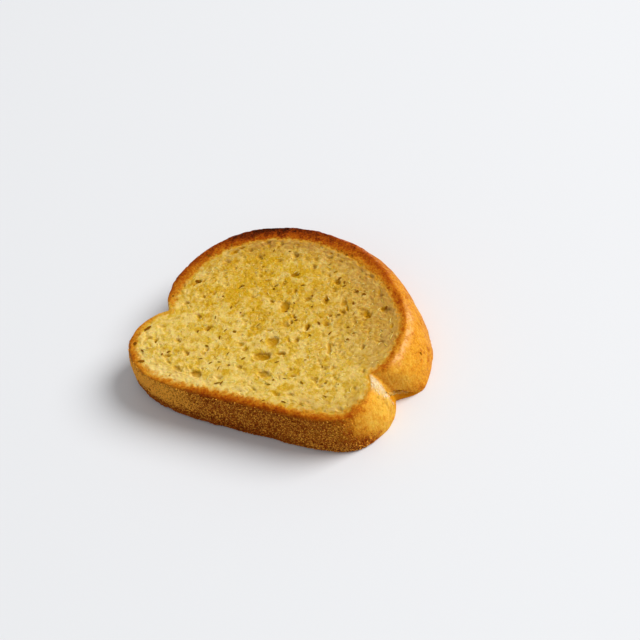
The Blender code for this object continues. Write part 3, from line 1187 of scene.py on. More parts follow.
    def browning(self, at: Sites, past: Array) -> Array:
        """Work out how baked the crust is.

        Args:
            at: Where the vertices lie.
            past: How far past the upper face's edge they are.

        Returns:
            The browning of each vertex, from 0, straw, to 1, burnt.
        """
        at_edge = 1.0 - np.clip((past - 0.3) / self.baked(at.points, "down"), 0.0, 1.0) ** 0.8
        bake = self.baked(at.points, "edge") * at_edge
        bake += self.baked(at.points, "wall") * (1.0 - at_edge)
        # Browner and darker low down on the side, towards the floor: partly painted shade.
        bake += (0.06 + 0.26 * self.shaded.at(at.turn)) * ease(at.height, 13.0, 1.0)
        bake += 0.38 * ease(at.height, 12.0, 1.0) * self.right_wall.at(at.turn)
        bake += 0.10 * ease(at.height, 16.5, 11.0) * self.left_wall.at(at.turn)
        blush = ease(at.over_lip, 6.0, 1.5) * self.blushing.at(at.past_crease)
        return bake + 0.22 * blush * (0.4 + rough_noise(at.points, 2.6, 2, 61))

    def torn_marks(self, at: Sites) -> dict[str, Array]:
        """Find where the crust tore.

        Args:
            at: Where the vertices lie.

        Returns:
            The torn patch along the crease, and the recess under the lip.
        """
        top, foot = np.array(self.crease)
        share = (FACE_HEIGHT - at.height)[:, None] / FACE_HEIGHT
        near = np.linalg.norm(at.points[:, :2] - (top + share * (foot - top)), axis=1)
        tapered = near + 0.4 * np.maximum(15.0 - at.height, 0.0)
        patch = ease(tapered + 2.0 * at.wander, 10.0, 4.2) * ease(at.past_crease, 1.5, -0.5)
        recess = ease(at.over_lip, 0.5, -0.5) * ease(at.past_crease, -0.5, 0.5)
        recess = recess * (at.past_crease < 11.5) * at.outside * (1.0 - patch)
        return {"torn": patch * at.outside, "recess": recess}

    def meal_mark(self, at: Sites, past: Array) -> Array:
        """Find where meal sticks to the crust: on the foot's wall, further round low down.

        Args:
            at: Where the vertices lie.
            past: How far past the upper face's edge they are.

        Returns:
            How mealy each vertex is, from 0 to 1.
        """
        spread = 7.0 * ease(at.height, 12.0, 3.0) + 4.0 * at.wander
        around = ease(at.turn, 186.0, 200.0) * ease(at.turn - spread, 337.0, 320.0)
        down = ease(past + at.wander, 0.4, 2.0) * ease(at.rim_gap, 0.9, 0.0)
        return around * down * ease(at.foot_gap * (at.height < self.wall_above), 1.6, 0.8)

    def mark(self, piece: Piece) -> None:
        """Store what the finish reads: where the crust is, how baked it is, and so on.

        Args:
            piece: The finished shape.
        """
        solid = self.solid
        at = Sites(solid, points_of(piece))
        points = at.points
        past = self.past_edge(at)
        upper = at.height > self.face_above
        under = at.height < self.under_below
        band = self.baked(points, "band")
        side = np.where(at.height > self.wall_above, -1.0, at.foot_gap / 2.2 - 0.4)
        bare = ease(np.abs(turned_from(self.left_notch, at.turn)) + 1.2 * at.wander, 4.2, 2.0)
        pit = np.where(upper, self.dents.at(points), self.under_dents.at(points) * under)
        marks = {
            "reach": np.maximum(np.where(upper, at.rim_gap / band, side), 1.2 * bare),
            "bake": self.browning(at, past),
            "band": band,
            "toast": self.baked(points, "toast"),
            **self.torn_marks(at),
            "meal": self.meal_mark(at, past),
            "lobe": ease(at.turn, 312.0, 326.0) * (at.turn < 353.5) * at.outside,
            "bare": bare * at.outside,
            # The sheen marks a glossy coat on the crust and, in the colour, a painted highlight.
            "sheen": self.greasy.at(at.past_crease) * self.greasy_band.at(past) * at.outside,
            "butter": self.spots(points, self.buttered) * upper,
            "dry": self.spots(points, self.dried),
            "pit": ease(pit, 0.10, 0.95),
            "stain": self.browned.at(points) * upper,
            "near_rim": ease(at.rim_gap, *solid.weave_reach),
        }
        for name, values in marks.items():
            store(piece, name, values)
        weave = np.where(upper[:, None], solid.weave(points, solid.inset), points)
        layer = piece.data.attributes.new("weave", "FLOAT_VECTOR", "POINT")
        layer.data.foreach_set("vector", weave.astype(np.float32).ravel())

    def crust_relief(self, points: Array, cut: Array, rim_gap: Array) -> Array:
        """Work out how far the crust is moved along its normal.

        Args:
            points: The mesh's vertices.
            cut: Which of them belong to the cut faces.
            rim_gap: Their distance inside the rim.

        Returns:
            One distance for each vertex.
        """
        turn = self.solid.turn_of(points)
        foot = self.foot.at(turn)
        skin = 0.14 * rough_noise(points, 3.2, 3, 31) + 0.24 * lattice_noise(points, 7.0, 35)
        stretched = points * (1.0, 1.0, 0.4)
        wrinkle = 1.0 - np.abs(rough_noise(stretched, 3.4, 2, 38))
        lobe = ease(turn, 318.0, 330.0) * (turn < 353.0)
        skin -= (0.30 - 0.18 * lobe) * (wrinkle**5 - 0.25)
        meal = 0.13 * rough_noise(points, 1.3, 2, 41) + 0.36 * lattice_noise(points, 4.2, 45)
        skin *= 1.0 + self.crown_bumps * self.crown.at(turn)
        bumps = skin * (1.0 - foot) + meal * foot
        low = ease(points[:, 2], FACE_HEIGHT, 20.6)
        at_rim = 0.7 * ease(rim_gap, self.edge_gap, -0.3) * (1.0 - low)
        relief = bumps * (low + at_rim) - self.crust_skin * low
        return np.where(cut, 0.0, relief * ease(points[:, 2], 0.0, 0.6))


# ---------------- small loose things


@dataclass(frozen=True)
class Shape:
    """A small closed shape that is copied many times.

    Attributes:
        points: Its vertices, in millimetres round its own middle.
        faces: The vertex numbers of its triangles.
    """

    points: Array
    faces: Array

    @classmethod
    def taken_from(cls, piece: Piece) -> "Shape":
        """Keep a modelled piece as a shape, and remove the piece.

        Args:
            piece: The modelled object, round the origin.

        Returns:
            The shape.
        """
        shape = cls(points_of(piece), corners_of(piece))
        bpy.data.objects.remove(piece, do_unlink=True)
        return shape


@dataclass(frozen=True)
class Spot:
    """Where one small thing lies.

    Attributes:
        place: Its middle.
        up: The direction that its upper side faces.
        along: Roughly the direction that its length runs in.
        size: Its scale along its length, width and height.
        tone: Its colour, from the finish's first one at 0 to its last at 1.
    """

    place: Array
    up: Array
    along: Array
    size: Triple
    tone: float

    def turned(self) -> Array:
        """Return the directions of its length, width and height, one row each."""
        up = self.up / np.linalg.norm(self.up)
        across = np.cross(up, self.along)
        across /= np.linalg.norm(across)
        return np.stack((np.cross(across, up), across, up))


def scatter(name: str, shapes: list[Shape], spots: list[Spot], finish: "LooseFinish",
            slot: Slot, smooth: bool = False) -> None:
    """Join a copy of a shape at every spot into one finished piece.

    Args:
        name: The piece's name.
        shapes: The shapes, taken in turn.
        spots: Where the copies lie.
        finish: Its finish, which reads each copy's tone.
        slot: The record's slot for it.
        smooth: Whether it is shaded smoothly.
    """
    points, faces, tones = [], [], []
    count = 0
    for number, spot in enumerate(spots):
        shape = shapes[number % len(shapes)]
        points.append(spot.place + (shape.points * spot.size) @ spot.turned())
        faces.append(shape.faces + count)
        tones.append(np.full(len(shape.points), spot.tone))
        count += len(shape.points)
    mesh = bpy.data.meshes.new(name)
    mesh.from_pydata(inside_box(np.concatenate(points)) * MM, [], np.concatenate(faces))
    piece = add(name, mesh)
    store(piece, "tone", np.concatenate(tones))
    if smooth:
        only(piece)
        bpy.ops.object.shade_smooth()
    finish_piece(piece, finish.material(), slot)


@dataclass
class Skin:
    """The finished slice's surface, on which small things are laid.

    Attributes:
        piece: The finished slice.
        seed: Which random draw is used.
    """

    piece: Piece
    seed: int

    def __post_init__(self) -> None:
        """Read the surface's triangles."""
        self.draw = np.random.default_rng(self.seed)
        self.points = points_of(self.piece)
        self.corners = corners_of(self.piece)
        first, second, third = (self.points[self.corners[:, i]] for i in range(3))
        cross = np.cross(second - first, third - first)
        self.areas = np.linalg.norm(cross, axis=1) / 2.0
        self.normals = cross / np.maximum(2.0 * self.areas, 1e-9)[:, None]
        self.middles = (first + second + third) / 3.0

    def mark(self, name: str) -> Array:
        """Return one of the slice's attributes, for each triangle."""
        values = np.empty(len(self.points), dtype=np.float32)
        self.piece.data.attributes[name].data.foreach_get("value", values)
        return values[self.corners].mean(axis=1)

    def sample(self, weights: Array, count: int) -> tuple[Array, Array]:
        """Draw places on the surface.

        Args:
            weights: How densely each triangle is covered.
            count: How many places are drawn.

        Returns:
            The places and the directions that the surface faces there.
        """
        share = self.areas * weights
        chosen = self.draw.choice(len(share), count, p=share / share.sum())
        weight = self.draw.dirichlet((1.0, 1.0, 1.0), count)
        places = np.einsum("nc,ncx->nx", weight, self.points[self.corners[chosen]])
        return places, self.normals[chosen]

    def nearest(self, place: Array) -> tuple[Array, Array]:
        """Return the middle and the direction of the triangle nearest to a place."""
        number = int(np.linalg.norm(self.middles - place, axis=1).argmin())
        return self.middles[number], self.normals[number]


@dataclass
class CrumbThreads:
    """The thin torn threads that stand on the cut face, as one piece.

    Attributes:
        count: How many threads there are.
        shapes: How many different threads there are.
        lengths: The shortest and the longest thread.
        widths: The thinnest and the thickest.
        joints: Where a thread is cut to bend, as shares of its length.
        freedom: How freely they lie at the rim and deep inside, in radians.
        inside_from: How far in the second of these is reached.
        rise: How far their middles stand over the crumb.
        seed: Which random draw is used.
    """

    count: int = 430
    shapes: int = 6
    lengths: Pair = (1.2, 3.6)
    widths: Pair = (0.30, 0.55)
    joints: tuple[float, ...] = (-0.22, 0.04, 0.27)
    freedom: Pair = (0.35, 1.5)
    inside_from: float = 20.0
    rise: float = 0.02
    seed: int = 17

    def thread(self, number: int) -> Shape:
        """Model one thread, a thin bent strand with tapered ends.

        Args:
            number: Which of the different threads it is.

        Returns:
            The thread, one millimetre long and thick.
        """
        bpy.ops.object.select_all(action="DESELECT")
        bpy.ops.mesh.primitive_cylinder_add(vertices=3, radius=0.5 * MM, depth=MM,
                                            end_fill_type="TRIFAN", rotation=(0.0, math.pi / 2, 0.0))
        piece = bpy.context.object
        bpy.ops.object.transform_apply(location=False, rotation=True, scale=False)
        with editing(piece):
            for share in self.joints:
                bpy.ops.mesh.select_all(action="SELECT")
                bpy.ops.mesh.bisect(plane_co=(share * MM, 0.0, 0.0), plane_no=(1.0, 0.0, 0.0))
        draw = np.random.default_rng(number + 100)
        points = points_of(piece)
        along = 2.0 * points[:, 0]
        slim = np.sqrt(np.clip(1.0 - np.abs(along) ** 2.5, 0.06, 1.0))
        bend, wave = draw.uniform(0.3, 1.6), draw.uniform(-0.5, 0.5)
        side = bend * (along * along - 0.4) + wave * np.sin(3.0 * along)
        shaped = np.stack((points[:, 0], points[:, 1] * slim + side, points[:, 2] * slim), axis=1)
        move_points(piece, shaped)
        return Shape.taken_from(piece)

    def build(self, skin: Skin, solid: BreadSolid) -> None:
        """Lay the threads on the face, along the rim where they are near it.

        Args:
            skin: The slice's surface.
            solid: The fixed solid.
        """
        draw = np.random.default_rng(self.seed)
        weights = (skin.middles[:, 2] > 21.2) * ease(skin.mark("reach"), 1.2, 2.4)
        weights = weights * ease(skin.mark("pit"), 0.9, 0.2)
        places, normals = skin.sample(weights, self.count)
        freedom = np.interp(solid.inset.at(places), (0.0, self.inside_from), self.freedom)
        turns = solid.inset.contour(places) + freedom * draw.normal(size=len(places))
        spots = []
        for place, up, turn in zip(places, normals, turns):
            length = mostly_short(self.lengths, draw)
            width = draw.uniform(*self.widths)
            along = np.array((math.cos(turn), math.sin(turn), draw.uniform(-0.15, 0.15)))
            spots.append(Spot(place + up * self.rise, up + (0.0, 0.0, 0.5), along,
                              (length, width, 0.55 * width), draw.random()))
        threads = [self.thread(i) for i in range(self.shapes)]
        scatter("crumb_threads", threads, spots, THREAD_FINISH, Slot.CRUMB, smooth=True)


@dataclass
class MealGrains:
    """The coarse meal on the crust of the foot, as one piece.

    Attributes:
        count: How many grains there are.
        shapes: How many different grains there are.
        lengths: The shortest and the longest grain.
        width_share: A grain's width, as a share of its length.
        height_share: Its height, as a share of its length.
        brokenness: How far its corners are pushed about.
        sunk: How far its middle stands over the crust, as a share of its height.
        tones: How the grains' tones are spread, from brown to pale.
        palest: The tone that the palest of them reach by themselves.
        paler_left: How much paler they are at the left end, high up: partly painted fill light.
        left_end: Where that end begins, and where it is complete.
        high_up: Between which heights it grows.
        darker_low: How much darker they are near the underside, but at the right end: partly painted
            shade towards the floor.
        low_down: Between which heights it grows.
        right_end: Between which places it comes in, from the right end on.
        seed: Which random draw is used.
    """

    count: int = 8600
    shapes: int = 5
    lengths: Pair = (0.45, 0.95)
    width_share: Pair = (0.6, 0.95)
    height_share: Pair = (0.4, 0.7)
    brokenness: float = 0.16
    sunk: float = 0.2
    tones: Pair = (0.50, 0.80)
    palest: float = 0.9
    paler_left: float = 0.85
    left_end: Pair = (-12.0, -42.0)
    high_up: Pair = (3.0, 12.0)
    darker_low: float = 0.4
    low_down: Pair = (10.0, 1.0)
    right_end: Pair = (34.0, 14.0)
    seed: int = 5

    def grain(self, number: int) -> Shape:
        """Model one grain, a small broken lump.

        Args:
            number: Which of the different grains it is.

        Returns:
            The grain, one millimetre long.
        """
        bpy.ops.object.select_all(action="DESELECT")
        bpy.ops.mesh.primitive_ico_sphere_add(subdivisions=1, radius=0.5 * MM)
        piece = bpy.context.object
        with editing(piece):
            bpy.ops.transform.vertex_random(offset=self.brokenness * MM, seed=number + 1)
        return Shape.taken_from(piece)

    def build(self, skin: Skin) -> None:
        """Stick the grains to the foot.

        Args:
            skin: The slice's surface.
        """
        draw = np.random.default_rng(self.seed)
        places, normals = skin.sample(np.clip(skin.mark("meal"), 0.0, 1.0) ** 1.5, self.count)
        spots = []
        for place, up in zip(places, normals):
            length = draw.uniform(*self.lengths)
            height = length * draw.uniform(*self.height_share)
            size = (length, length * draw.uniform(*self.width_share), height)
            along = draw.normal(size=3)
            x, _, z = place
            tone = draw.beta(*self.tones) * self.palest
            # Paler at the left end, partly painted fill light; darker near the floor, partly painted
            # shade.
            tone += self.paler_left * float(ease(x, *self.left_end) * ease(z, *self.high_up))
            tone -= self.darker_low * float(ease(z, *self.low_down) * ease(x, *self.right_end))
            spots.append(Spot(place + up * height * self.sunk, up, along, size, tone))
        grains = [self.grain(i) for i in range(self.shapes)]
        scatter("meal_grains", grains, spots, MEAL_FINISH, Slot.CRUST)


@dataclass
class TornCrumbs:
    """Ragged shreds of crumb where the crust tore, as one piece.

    Attributes:
        on_patch: How many lie over the torn patch and the bare notch.
        on_lip: How many hang along the torn lip and the ragged hem beyond it.
        shapes: How many different shreds there are.
        lengths: The shortest and the longest shred.
        raggedness: How far a shred's corners are pushed about.
        golden: How golden they are on the patch, at the bare notch and along the lip.
        lean: The direction in which those at the lip hang.
        lip: The lip's two ends and the hem's, as direction and height.
        clear_below: Lower than this nothing hangs, so the underside stays clean.
        seed: Which random draw is used.
    """

    on_patch: int = 130
    on_lip: int = 300
    shapes: int = 6
    lengths: Pair = (0.5, 1.7)
    raggedness: float = 0.12
    golden: Triple = (0.15, 0.80, 0.70)
    lean: Triple = (0.4, 1.0, -0.9)
    lip: tuple[Pair, ...] = ((352.9, 9.6), (363.4, 0.8), (371.0, 0.8))
    clear_below: float = 0.5
    seed: int = 23

    def shred(self, number: int) -> Shape:
        """Model one shred, a rough lump with hollows.

        Args:
            number: Which of the different shreds it is.

        Returns:
            The shred, one millimetre long.
        """
        bpy.ops.object.select_all(action="DESELECT")
        bpy.ops.mesh.primitive_ico_sphere_add(subdivisions=2, radius=0.5 * MM)
        piece = bpy.context.object
        with editing(piece):
            bpy.ops.transform.vertex_random(offset=self.raggedness * MM, seed=number + 31)
        points = points_of(piece)
        lumps = 1.0 + 0.55 * lattice_noise(points + number, 0.45, number + 50)
        move_points(piece, points * lumps[:, None])
        return Shape.taken_from(piece)

    def build(self, skin: Skin, solid: BreadSolid) -> None:
        """Lay the shreds on the torn places.

        Args:
            skin: The slice's surface.
            solid: The fixed solid.
        """
        draw = np.random.default_rng(self.seed)
        weights = np.clip(skin.mark("torn"), 0.0, 1.0) + 0.5 * np.clip(skin.mark("bare"), 0.0, 1.0)
        places, normals = skin.sample(weights, self.on_patch)
        on_patch, at_notch, at_lip = self.golden
        laid = [(place, up, draw.normal(size=3), on_patch if place[0] > 0.0 else at_notch)
                for place, up in zip(places, normals)]
        lip_turns, lip_heights = np.array(self.lip).T
        for turn in draw.uniform(lip_turns[0], lip_turns[-1], self.on_lip):
            turn += draw.normal() * 0.2
            height = np.interp(turn, lip_turns, lip_heights) + draw.normal() * 0.35
            place, up = skin.nearest(solid.on_side(turn, height))
            along = np.array(self.lean) + 0.5 * draw.normal(size=3)
            if place[2] > self.clear_below:
                laid.append((place, up, along, at_lip))
        spots = []
        for place, up, along, golden in laid:
            length = mostly_short(self.lengths, draw)
            size = (length, length * draw.uniform(0.35, 0.75), length * draw.uniform(0.25, 0.5))
            spots.append(Spot(place + up * 0.05, up, along, size, golden + draw.uniform(0.0, 0.45)))
        shreds = [self.shred(i) for i in range(self.shapes)]
        scatter("torn_crumbs", shreds, spots, SHRED_FINISH, Slot.CRUMB, smooth=True)


@dataclass(frozen=True)
class Bit:
    """One bit of herb that the picture shows.

    Attributes:
        pixel: Where it is seen.
        length: Its length.
        width: Its width.
        tilt: The direction of its length in the picture, in degrees.
        tone: Its colour, from scorched, 0, to olive, 1.
    """

    pixel: Pair
    length: float
    width: float
    tilt: float
    tone: float


SEEN_BITS = (
    Bit((319.2, 323.0), 2.6, 1.0, -50.0, 0.1),
    Bit((329.7, 333.2), 2.3, 0.7, 45.0, 0.1),
    Bit((277.1, 362.3), 3.0, 0.5, 18.0, 0.7),
    Bit((273.2, 380.2), 1.1, 0.9, 90.0, 0.7),
    Bit((325.5, 383.2), 1.5, 0.8, 0.0, 0.8),
    Bit((284.8, 378.4), 2.0, 0.4, -5.0, 0.4),
    Bit((305.2, 360.5), 1.3, 0.6, 0.0, 0.9),
    Bit((322.4, 366.5), 1.4, 0.7, -60.0, 0.9),
    Bit((240.3, 312.5), 0.9, 0.8, 0.0, 0.0),
    Bit((312.2, 306.8), 1.0, 0.9, 0.0, 0.0),
    Bit((312.5, 296.0), 1.3, 0.9, 60.0, 0.1),
    Bit((296.7, 320.2), 1.8, 0.8, 10.0, 0.2),
    Bit((286.4, 311.6), 1.6, 0.7, 10.0, 0.0),
    Bit((308.0, 329.8), 1.7, 1.2, 45.0, 0.1),
    Bit((235.4, 331.4), 1.3, 1.0, 90.0, 0.5),
    Bit((142.3, 360.8), 4.2, 1.5, 5.0, 0.2),
    Bit((135.6, 343.4), 2.0, 1.8, 0.0, 0.0),
    Bit((147.9, 328.5), 4.2, 1.5, 38.0, 0.1),
    Bit((155.6, 341.0), 1.6, 1.1, 60.0, 0.6),
    Bit((168.6, 351.8), 2.1, 1.0, 25.0, 0.2),
    Bit((162.3, 354.5), 1.4, 1.0, 90.0, 0.2),
    Bit((206.8, 346.0), 2.2, 1.0, -35.0, 0.5),
    Bit((218.8, 361.8), 1.8, 0.6, -5.0, 0.4),
    Bit((228.9, 365.5), 1.4, 0.8, 0.0, 0.5),
    Bit((234.2, 331.5), 1.9, 1.3, -20.0, 0.4),
    Bit((207.2, 328.4), 1.7, 0.8, 80.0, 0.2),
    Bit((197.9, 331.7), 1.6, 1.0, 60.0, 0.4),
    Bit((357.1, 291.0), 1.4, 1.3, 0.0, 0.0),
    Bit((364.4, 293.9), 2.1, 1.0, -20.0, 0.2),
    Bit((344.6, 282.7), 2.1, 0.9, 85.0, 0.3),
    Bit((339.4, 278.2), 2.0, 0.9, 35.0, 0.2),
    Bit((353.6, 303.1), 1.8, 0.9, 100.0, 0.1),
    Bit((338.9, 314.0), 1.5, 1.1, 0.0, 0.4),
    Bit((347.8, 327.0), 1.5, 0.9, -15.0, 0.4),
    Bit((347.8, 339.5), 1.4, 1.1, 0.0, 0.3),
    Bit((386.7, 307.6), 2.0, 1.1, 70.0, 0.0),
    Bit((346.6, 254.5), 1.3, 1.2, 90.0, 0.0),
    Bit((197.5, 281.3), 2.2, 1.0, 5.0, 0.0),
    Bit((290.0, 251.8), 1.6, 0.8, -20.0, 0.5),
    Bit((264.4, 255.2), 1.1, 0.7, 0.0, 0.5),
    Bit((263.3, 266.2), 1.3, 0.8, 40.0, 0.6),
    Bit((223.3, 296.6), 0.9, 0.8, 0.0, 0.1),
    Bit((273.9, 288.7), 1.1, 0.8, 0.0, 0.0),
    Bit((243.0, 286.0), 1.8, 0.8, 10.0, 0.3),
    Bit((172.6, 296.8), 1.2, 0.9, 80.0, 0.0),
)


@dataclass
class HerbLeaves:
    """The dried herb on the slice: broken leaves over the solid's flakes, and dust.

    Attributes:
        leaf_length: A modelled leaf's length and width.
        thickness: How thick a leaf is.
        raggedness: How far its edge is pushed about.
        over_flake: How much longer a leaf is than the flake under it.
        specks: How many small bits lie on the face.
        speck_lengths: The shortest and longest of these.
        on_crust: Bits stuck to the crust, as direction, height and length.
        seen: Bits that the picture shows on the face.
        seed: Which random draw is used.
    """

    leaf_length: Pair = (1.0, 0.5)
    thickness: float = 0.10
    raggedness: float = 0.05
    over_flake: float = 0.95
    specks: int = 16
    speck_lengths: Pair = (0.35, 1.0)
    on_crust: tuple[Triple, ...] = (
        (13.0, 12.0, 1.6),
        (352.0, 10.0, 1.1),
        (355.0, 7.0, 1.2),
        (2.0, 5.0, 0.9),
    )
    seen: tuple[Bit, ...] = SEEN_BITS
    seed: int = 11

    def leaf(self, curl: float, ragged: int) -> Shape:
        """Model a bit of a dried leaf: a tapered, curled flake.

        Args:
            curl: How far it is rolled up, in degrees.
            ragged: Which uneven edge it has.

        Returns:
            The leaf, one millimetre long.
        """
        length, width = self.leaf_length
        bpy.ops.object.select_all(action="DESELECT")
        bpy.ops.mesh.primitive_grid_add(x_subdivisions=4, y_subdivisions=2, size=MM)
        piece = bpy.context.object
        points = points_of(piece)
        x, y = points[:, 0] * length, points[:, 1] * width
        taper = np.sqrt(np.clip(1.0 - (2.0 * x / length) ** 2, 0.06, 1.0))
        bend = math.radians(curl) * y / width
        lift = 0.10 * np.cos(3.0 * x / length) + 0.5 * width * (1.0 - np.cos(bend))
        shaped = np.stack((x, y * taper * np.cos(0.5 * bend), lift * taper), axis=1)
        move_points(piece, shaped)
        with editing(piece):
            bpy.ops.transform.vertex_random(offset=self.raggedness * MM, seed=ragged)
        apply_modifier(piece, "SOLIDIFY", thickness=self.thickness * MM, offset=0.0)
        return Shape.taken_from(piece)

    def build(self, skin: Skin, solid: BreadSolid, level: FaceMap) -> None:
        """Lay the herb on the slice.

        Args:
            skin: The slice's surface.
            solid: The fixed solid, with its flakes.
            level: The height of the bare face.
        """
        draw = np.random.default_rng(self.seed)
        spots = []
        for first, last in solid.flakes(level):
            middle = (first + last) / 2.0
            long = float(np.linalg.norm(last - first)) * self.over_flake
            place, up = skin.nearest(middle)
            wide = max(long * draw.uniform(0.45, 0.8), 0.9)
            tone = draw.uniform(0.15, 1.0) * float(ease(solid.inset.at(middle[None])[0], 3.0, 9.0))
            spots.append(Spot(place + up * 0.10, up + (0.0, 0.0, 1.0), last - first,
                              (long, wide, 0.9), tone))
        face = (skin.middles[:, 2] > 21.0) * np.clip(skin.mark("reach"), 0.3, 1.0)
        places, normals = skin.sample(face, self.specks)
        for place, up in zip(places, normals):
            size = mostly_short(self.speck_lengths, draw)
            spots.append(Spot(place + up * 0.06, up + (0.0, 0.0, 1.0), draw.normal(size=3),
                              (size, size * draw.uniform(0.7, 1.6), size), draw.uniform(0.0, 1.0)))
        for bit in self.seen:
            x, y = VIEW.on_face(bit.pixel)
            place, up = skin.nearest(np.array((x, y, FACE_HEIGHT)))
            turn = VIEW.turn_on_face(bit.pixel, bit.tilt)
            long = bit.length * self.over_flake
            spots.append(Spot(place + up * 0.10, up + (0.0, 0.0, 1.0),
                              np.array((math.cos(turn), math.sin(turn), 0.0)),
                              (long, bit.width / self.leaf_length[1], 0.9), bit.tone))
        for turn, height, size in self.on_crust:
            place, up = skin.nearest(solid.on_side(turn, height))
            spots.append(Spot(place + up * 0.08, up, (0.3, 0.2, 1.0), (size, size, size), 0.1))
        leaves = [self.leaf(90.0, 1), self.leaf(150.0, 2), self.leaf(40.0, 3)]
        scatter("herb_leaves", leaves, spots, HERB_FINISH, Slot.HERB)


# ---------------- finishes


class Recipe:
    """Shorthand for building one material out of nodes, on millimetre coordinates."""

    def __init__(self, name: str) -> None:
        """Start a material with its shader and its coordinates.

        Args:
            name: The material's name.
        """
        self.material = bpy.data.materials.new(name)
        self.material.use_nodes = True
        self.tree = self.material.node_tree
        self.shader = self.tree.nodes["Principled BSDF"]
        coordinates = self.node("ShaderNodeTexCoord").outputs["Object"]
        self.place = self.vector("SCALE", coordinates, 1.0 / MM)

    def node(self, kind: str, **settings: object) -> bpy.types.Node:
        """Add a node.

        Args:
            kind: Its type.
            **settings: Its properties.

        Returns:
            The node.
        """
        made = self.tree.nodes.new(kind)
        for name, value in settings.items():
            setattr(made, name, value)
        return made

    def link(self, value: object, socket: Socket) -> None:
        """Lead a value into a socket.

        Args:
            value: Another node's output, or a number or colour.
            socket: Where it goes.
        """
        if isinstance(value, Socket):
            self.tree.links.new(value, socket)
        else:
            socket.default_value = value

    def math(self, operation: str, first: object, second: object = 0.0, clamp: bool = False) -> Socket:
        """Combine two numbers.

        Args:
            operation: What is done, as Blender names it.
            first: The first number.
            second: The second one.
            clamp: Whether the result stays between 0 and 1.

        Returns:
            The result.
        """
        made = self.node("ShaderNodeMath", operation=operation, use_clamp=clamp)
        self.link(first, made.inputs[0])
        self.link(second, made.inputs[1])
        return made.outputs[0]

    def vector(self, operation: str, first: object, second: object) -> Socket:
        """Combine two vectors, or scale the first by a number.

        Args:
            operation: What is done, as Blender names it.
            first: The first vector.
            second: The second one, or the number.

        Returns:
            The result.
        """
        made = self.node("ShaderNodeVectorMath", operation=operation)
        self.link(first, made.inputs[0])
        self.link(second, made.inputs["Scale" if operation == "SCALE" else 1])
        return made.outputs[0]

    def plus(self, first: object, second: object, clamp: bool = False) -> Socket:
        """Add two numbers; clamped, the sum stays between 0 and 1."""
        return self.math("ADD", first, second, clamp)

    def times(self, first: object, second: object, clamp: bool = False) -> Socket:
        """Multiply two numbers; clamped, the product stays between 0 and 1."""
        return self.math("MULTIPLY", first, second, clamp)

    def between(self, first: object, second: object, share: object) -> Socket:
        """Blend two numbers, from the first at share 0 to the second at share 1."""
        rest = self.math("SUBTRACT", 1.0, share)
        return self.plus(self.times(second, share), self.times(first, rest))

    def mix(self, first: object, second: object, share: object, blend: str = "MIX") -> Socket:
        """Mix two colours.

        Args:
            first: The colour at share 0.
            second: The colour at share 1.
            share: How much of the second there is.
            blend: The way they are mixed.

        Returns:
            The mixed colour.
        """
        made = self.node("ShaderNodeMix", data_type="RGBA", blend_type=blend)
        self.link(share, made.inputs[0])
        self.link(first, made.inputs[6])
        self.link(second, made.inputs[7])
        return made.outputs[2]

    def ramp(self, share: object, stops: tuple[tuple[float, Colour], ...]) -> Socket:
        """Look a number up in a row of colours.

        Args:
            share: The number, from 0 to 1.
            stops: Each colour and its place.

        Returns:
            The colour.
        """
        made = self.node("ShaderNodeValToRGB")
        row = made.color_ramp.elements
        while len(row) < len(stops):
            row.new(1.0)
        for element, (place, colour) in zip(row, stops):
            element.position = place
            element.color = colour
        self.link(share, made.inputs[0])
        return made.outputs[0]

    def ease(self, value: object, start: float, end: float, low: float = 0.0,
             high: float = 1.0) -> Socket:
        """Rise smoothly from low at start to high at end.

        Args:
            value: The number.
            start: Where the rise begins.
            end: Where it is complete.
            low: The result before it.
            high: The result after it.

        Returns:
            The eased number.
        """
        made = self.node("ShaderNodeMapRange", interpolation_type="SMOOTHSTEP")
        for socket, item in zip(made.inputs, (value, start, end, low, high)):
            self.link(item, socket)
        return made.outputs[0]

    def attribute(self, name: str) -> Socket:
        """Return a number that the mesh carries."""
        return self.node("ShaderNodeAttribute", attribute_name=name).outputs["Fac"]

    def woven(self) -> Socket:
        """Return the coordinates that follow the rim."""
        return self.node("ShaderNodeAttribute", attribute_name="weave").outputs["Vector"]

    def noise(self, pitch: float, detail: float = 3.0, roughness: float = 0.55,
              distortion: float = 0.0, upright: float = 1.0,
              place: Socket | None = None) -> Socket:
        """Make soft noise.

        Args:
            pitch: How many hills there are in a millimetre.
            detail: How many finer parts it has.
            roughness: How strong these are.
            distortion: How twisted it is.
            upright: How its height is scaled; less than 1 draws upright streaks.
            place: The coordinates, where they aren't the plain ones.

        Returns:
            The noise, from 0 to 1.
        """
        if upright != 1.0:
            place = self.vector("MULTIPLY", self.place, (1.0, 1.0, upright))
        made = self.node("ShaderNodeTexNoise")
        made.inputs["Scale"].default_value = pitch
        made.inputs["Detail"].default_value = detail
        made.inputs["Roughness"].default_value = roughness
        made.inputs["Distortion"].default_value = distortion
        self.link(place or self.place, made.inputs["Vector"])
        return made.outputs["Fac"]

    def cells(self, pitch: float, feature: str = "F1", place: Socket | None = None) -> bpy.types.Node:
        """Make cells, such as small pores.

        Args:
            pitch: How many there are in a millimetre.
            feature: What is measured in them.
            place: The coordinates, where they aren't the plain ones.

        Returns:
            The node.
        """
        made = self.node("ShaderNodeTexVoronoi", feature=feature)
        made.inputs["Scale"].default_value = pitch
        self.link(place or self.place, made.inputs["Vector"])
        return made

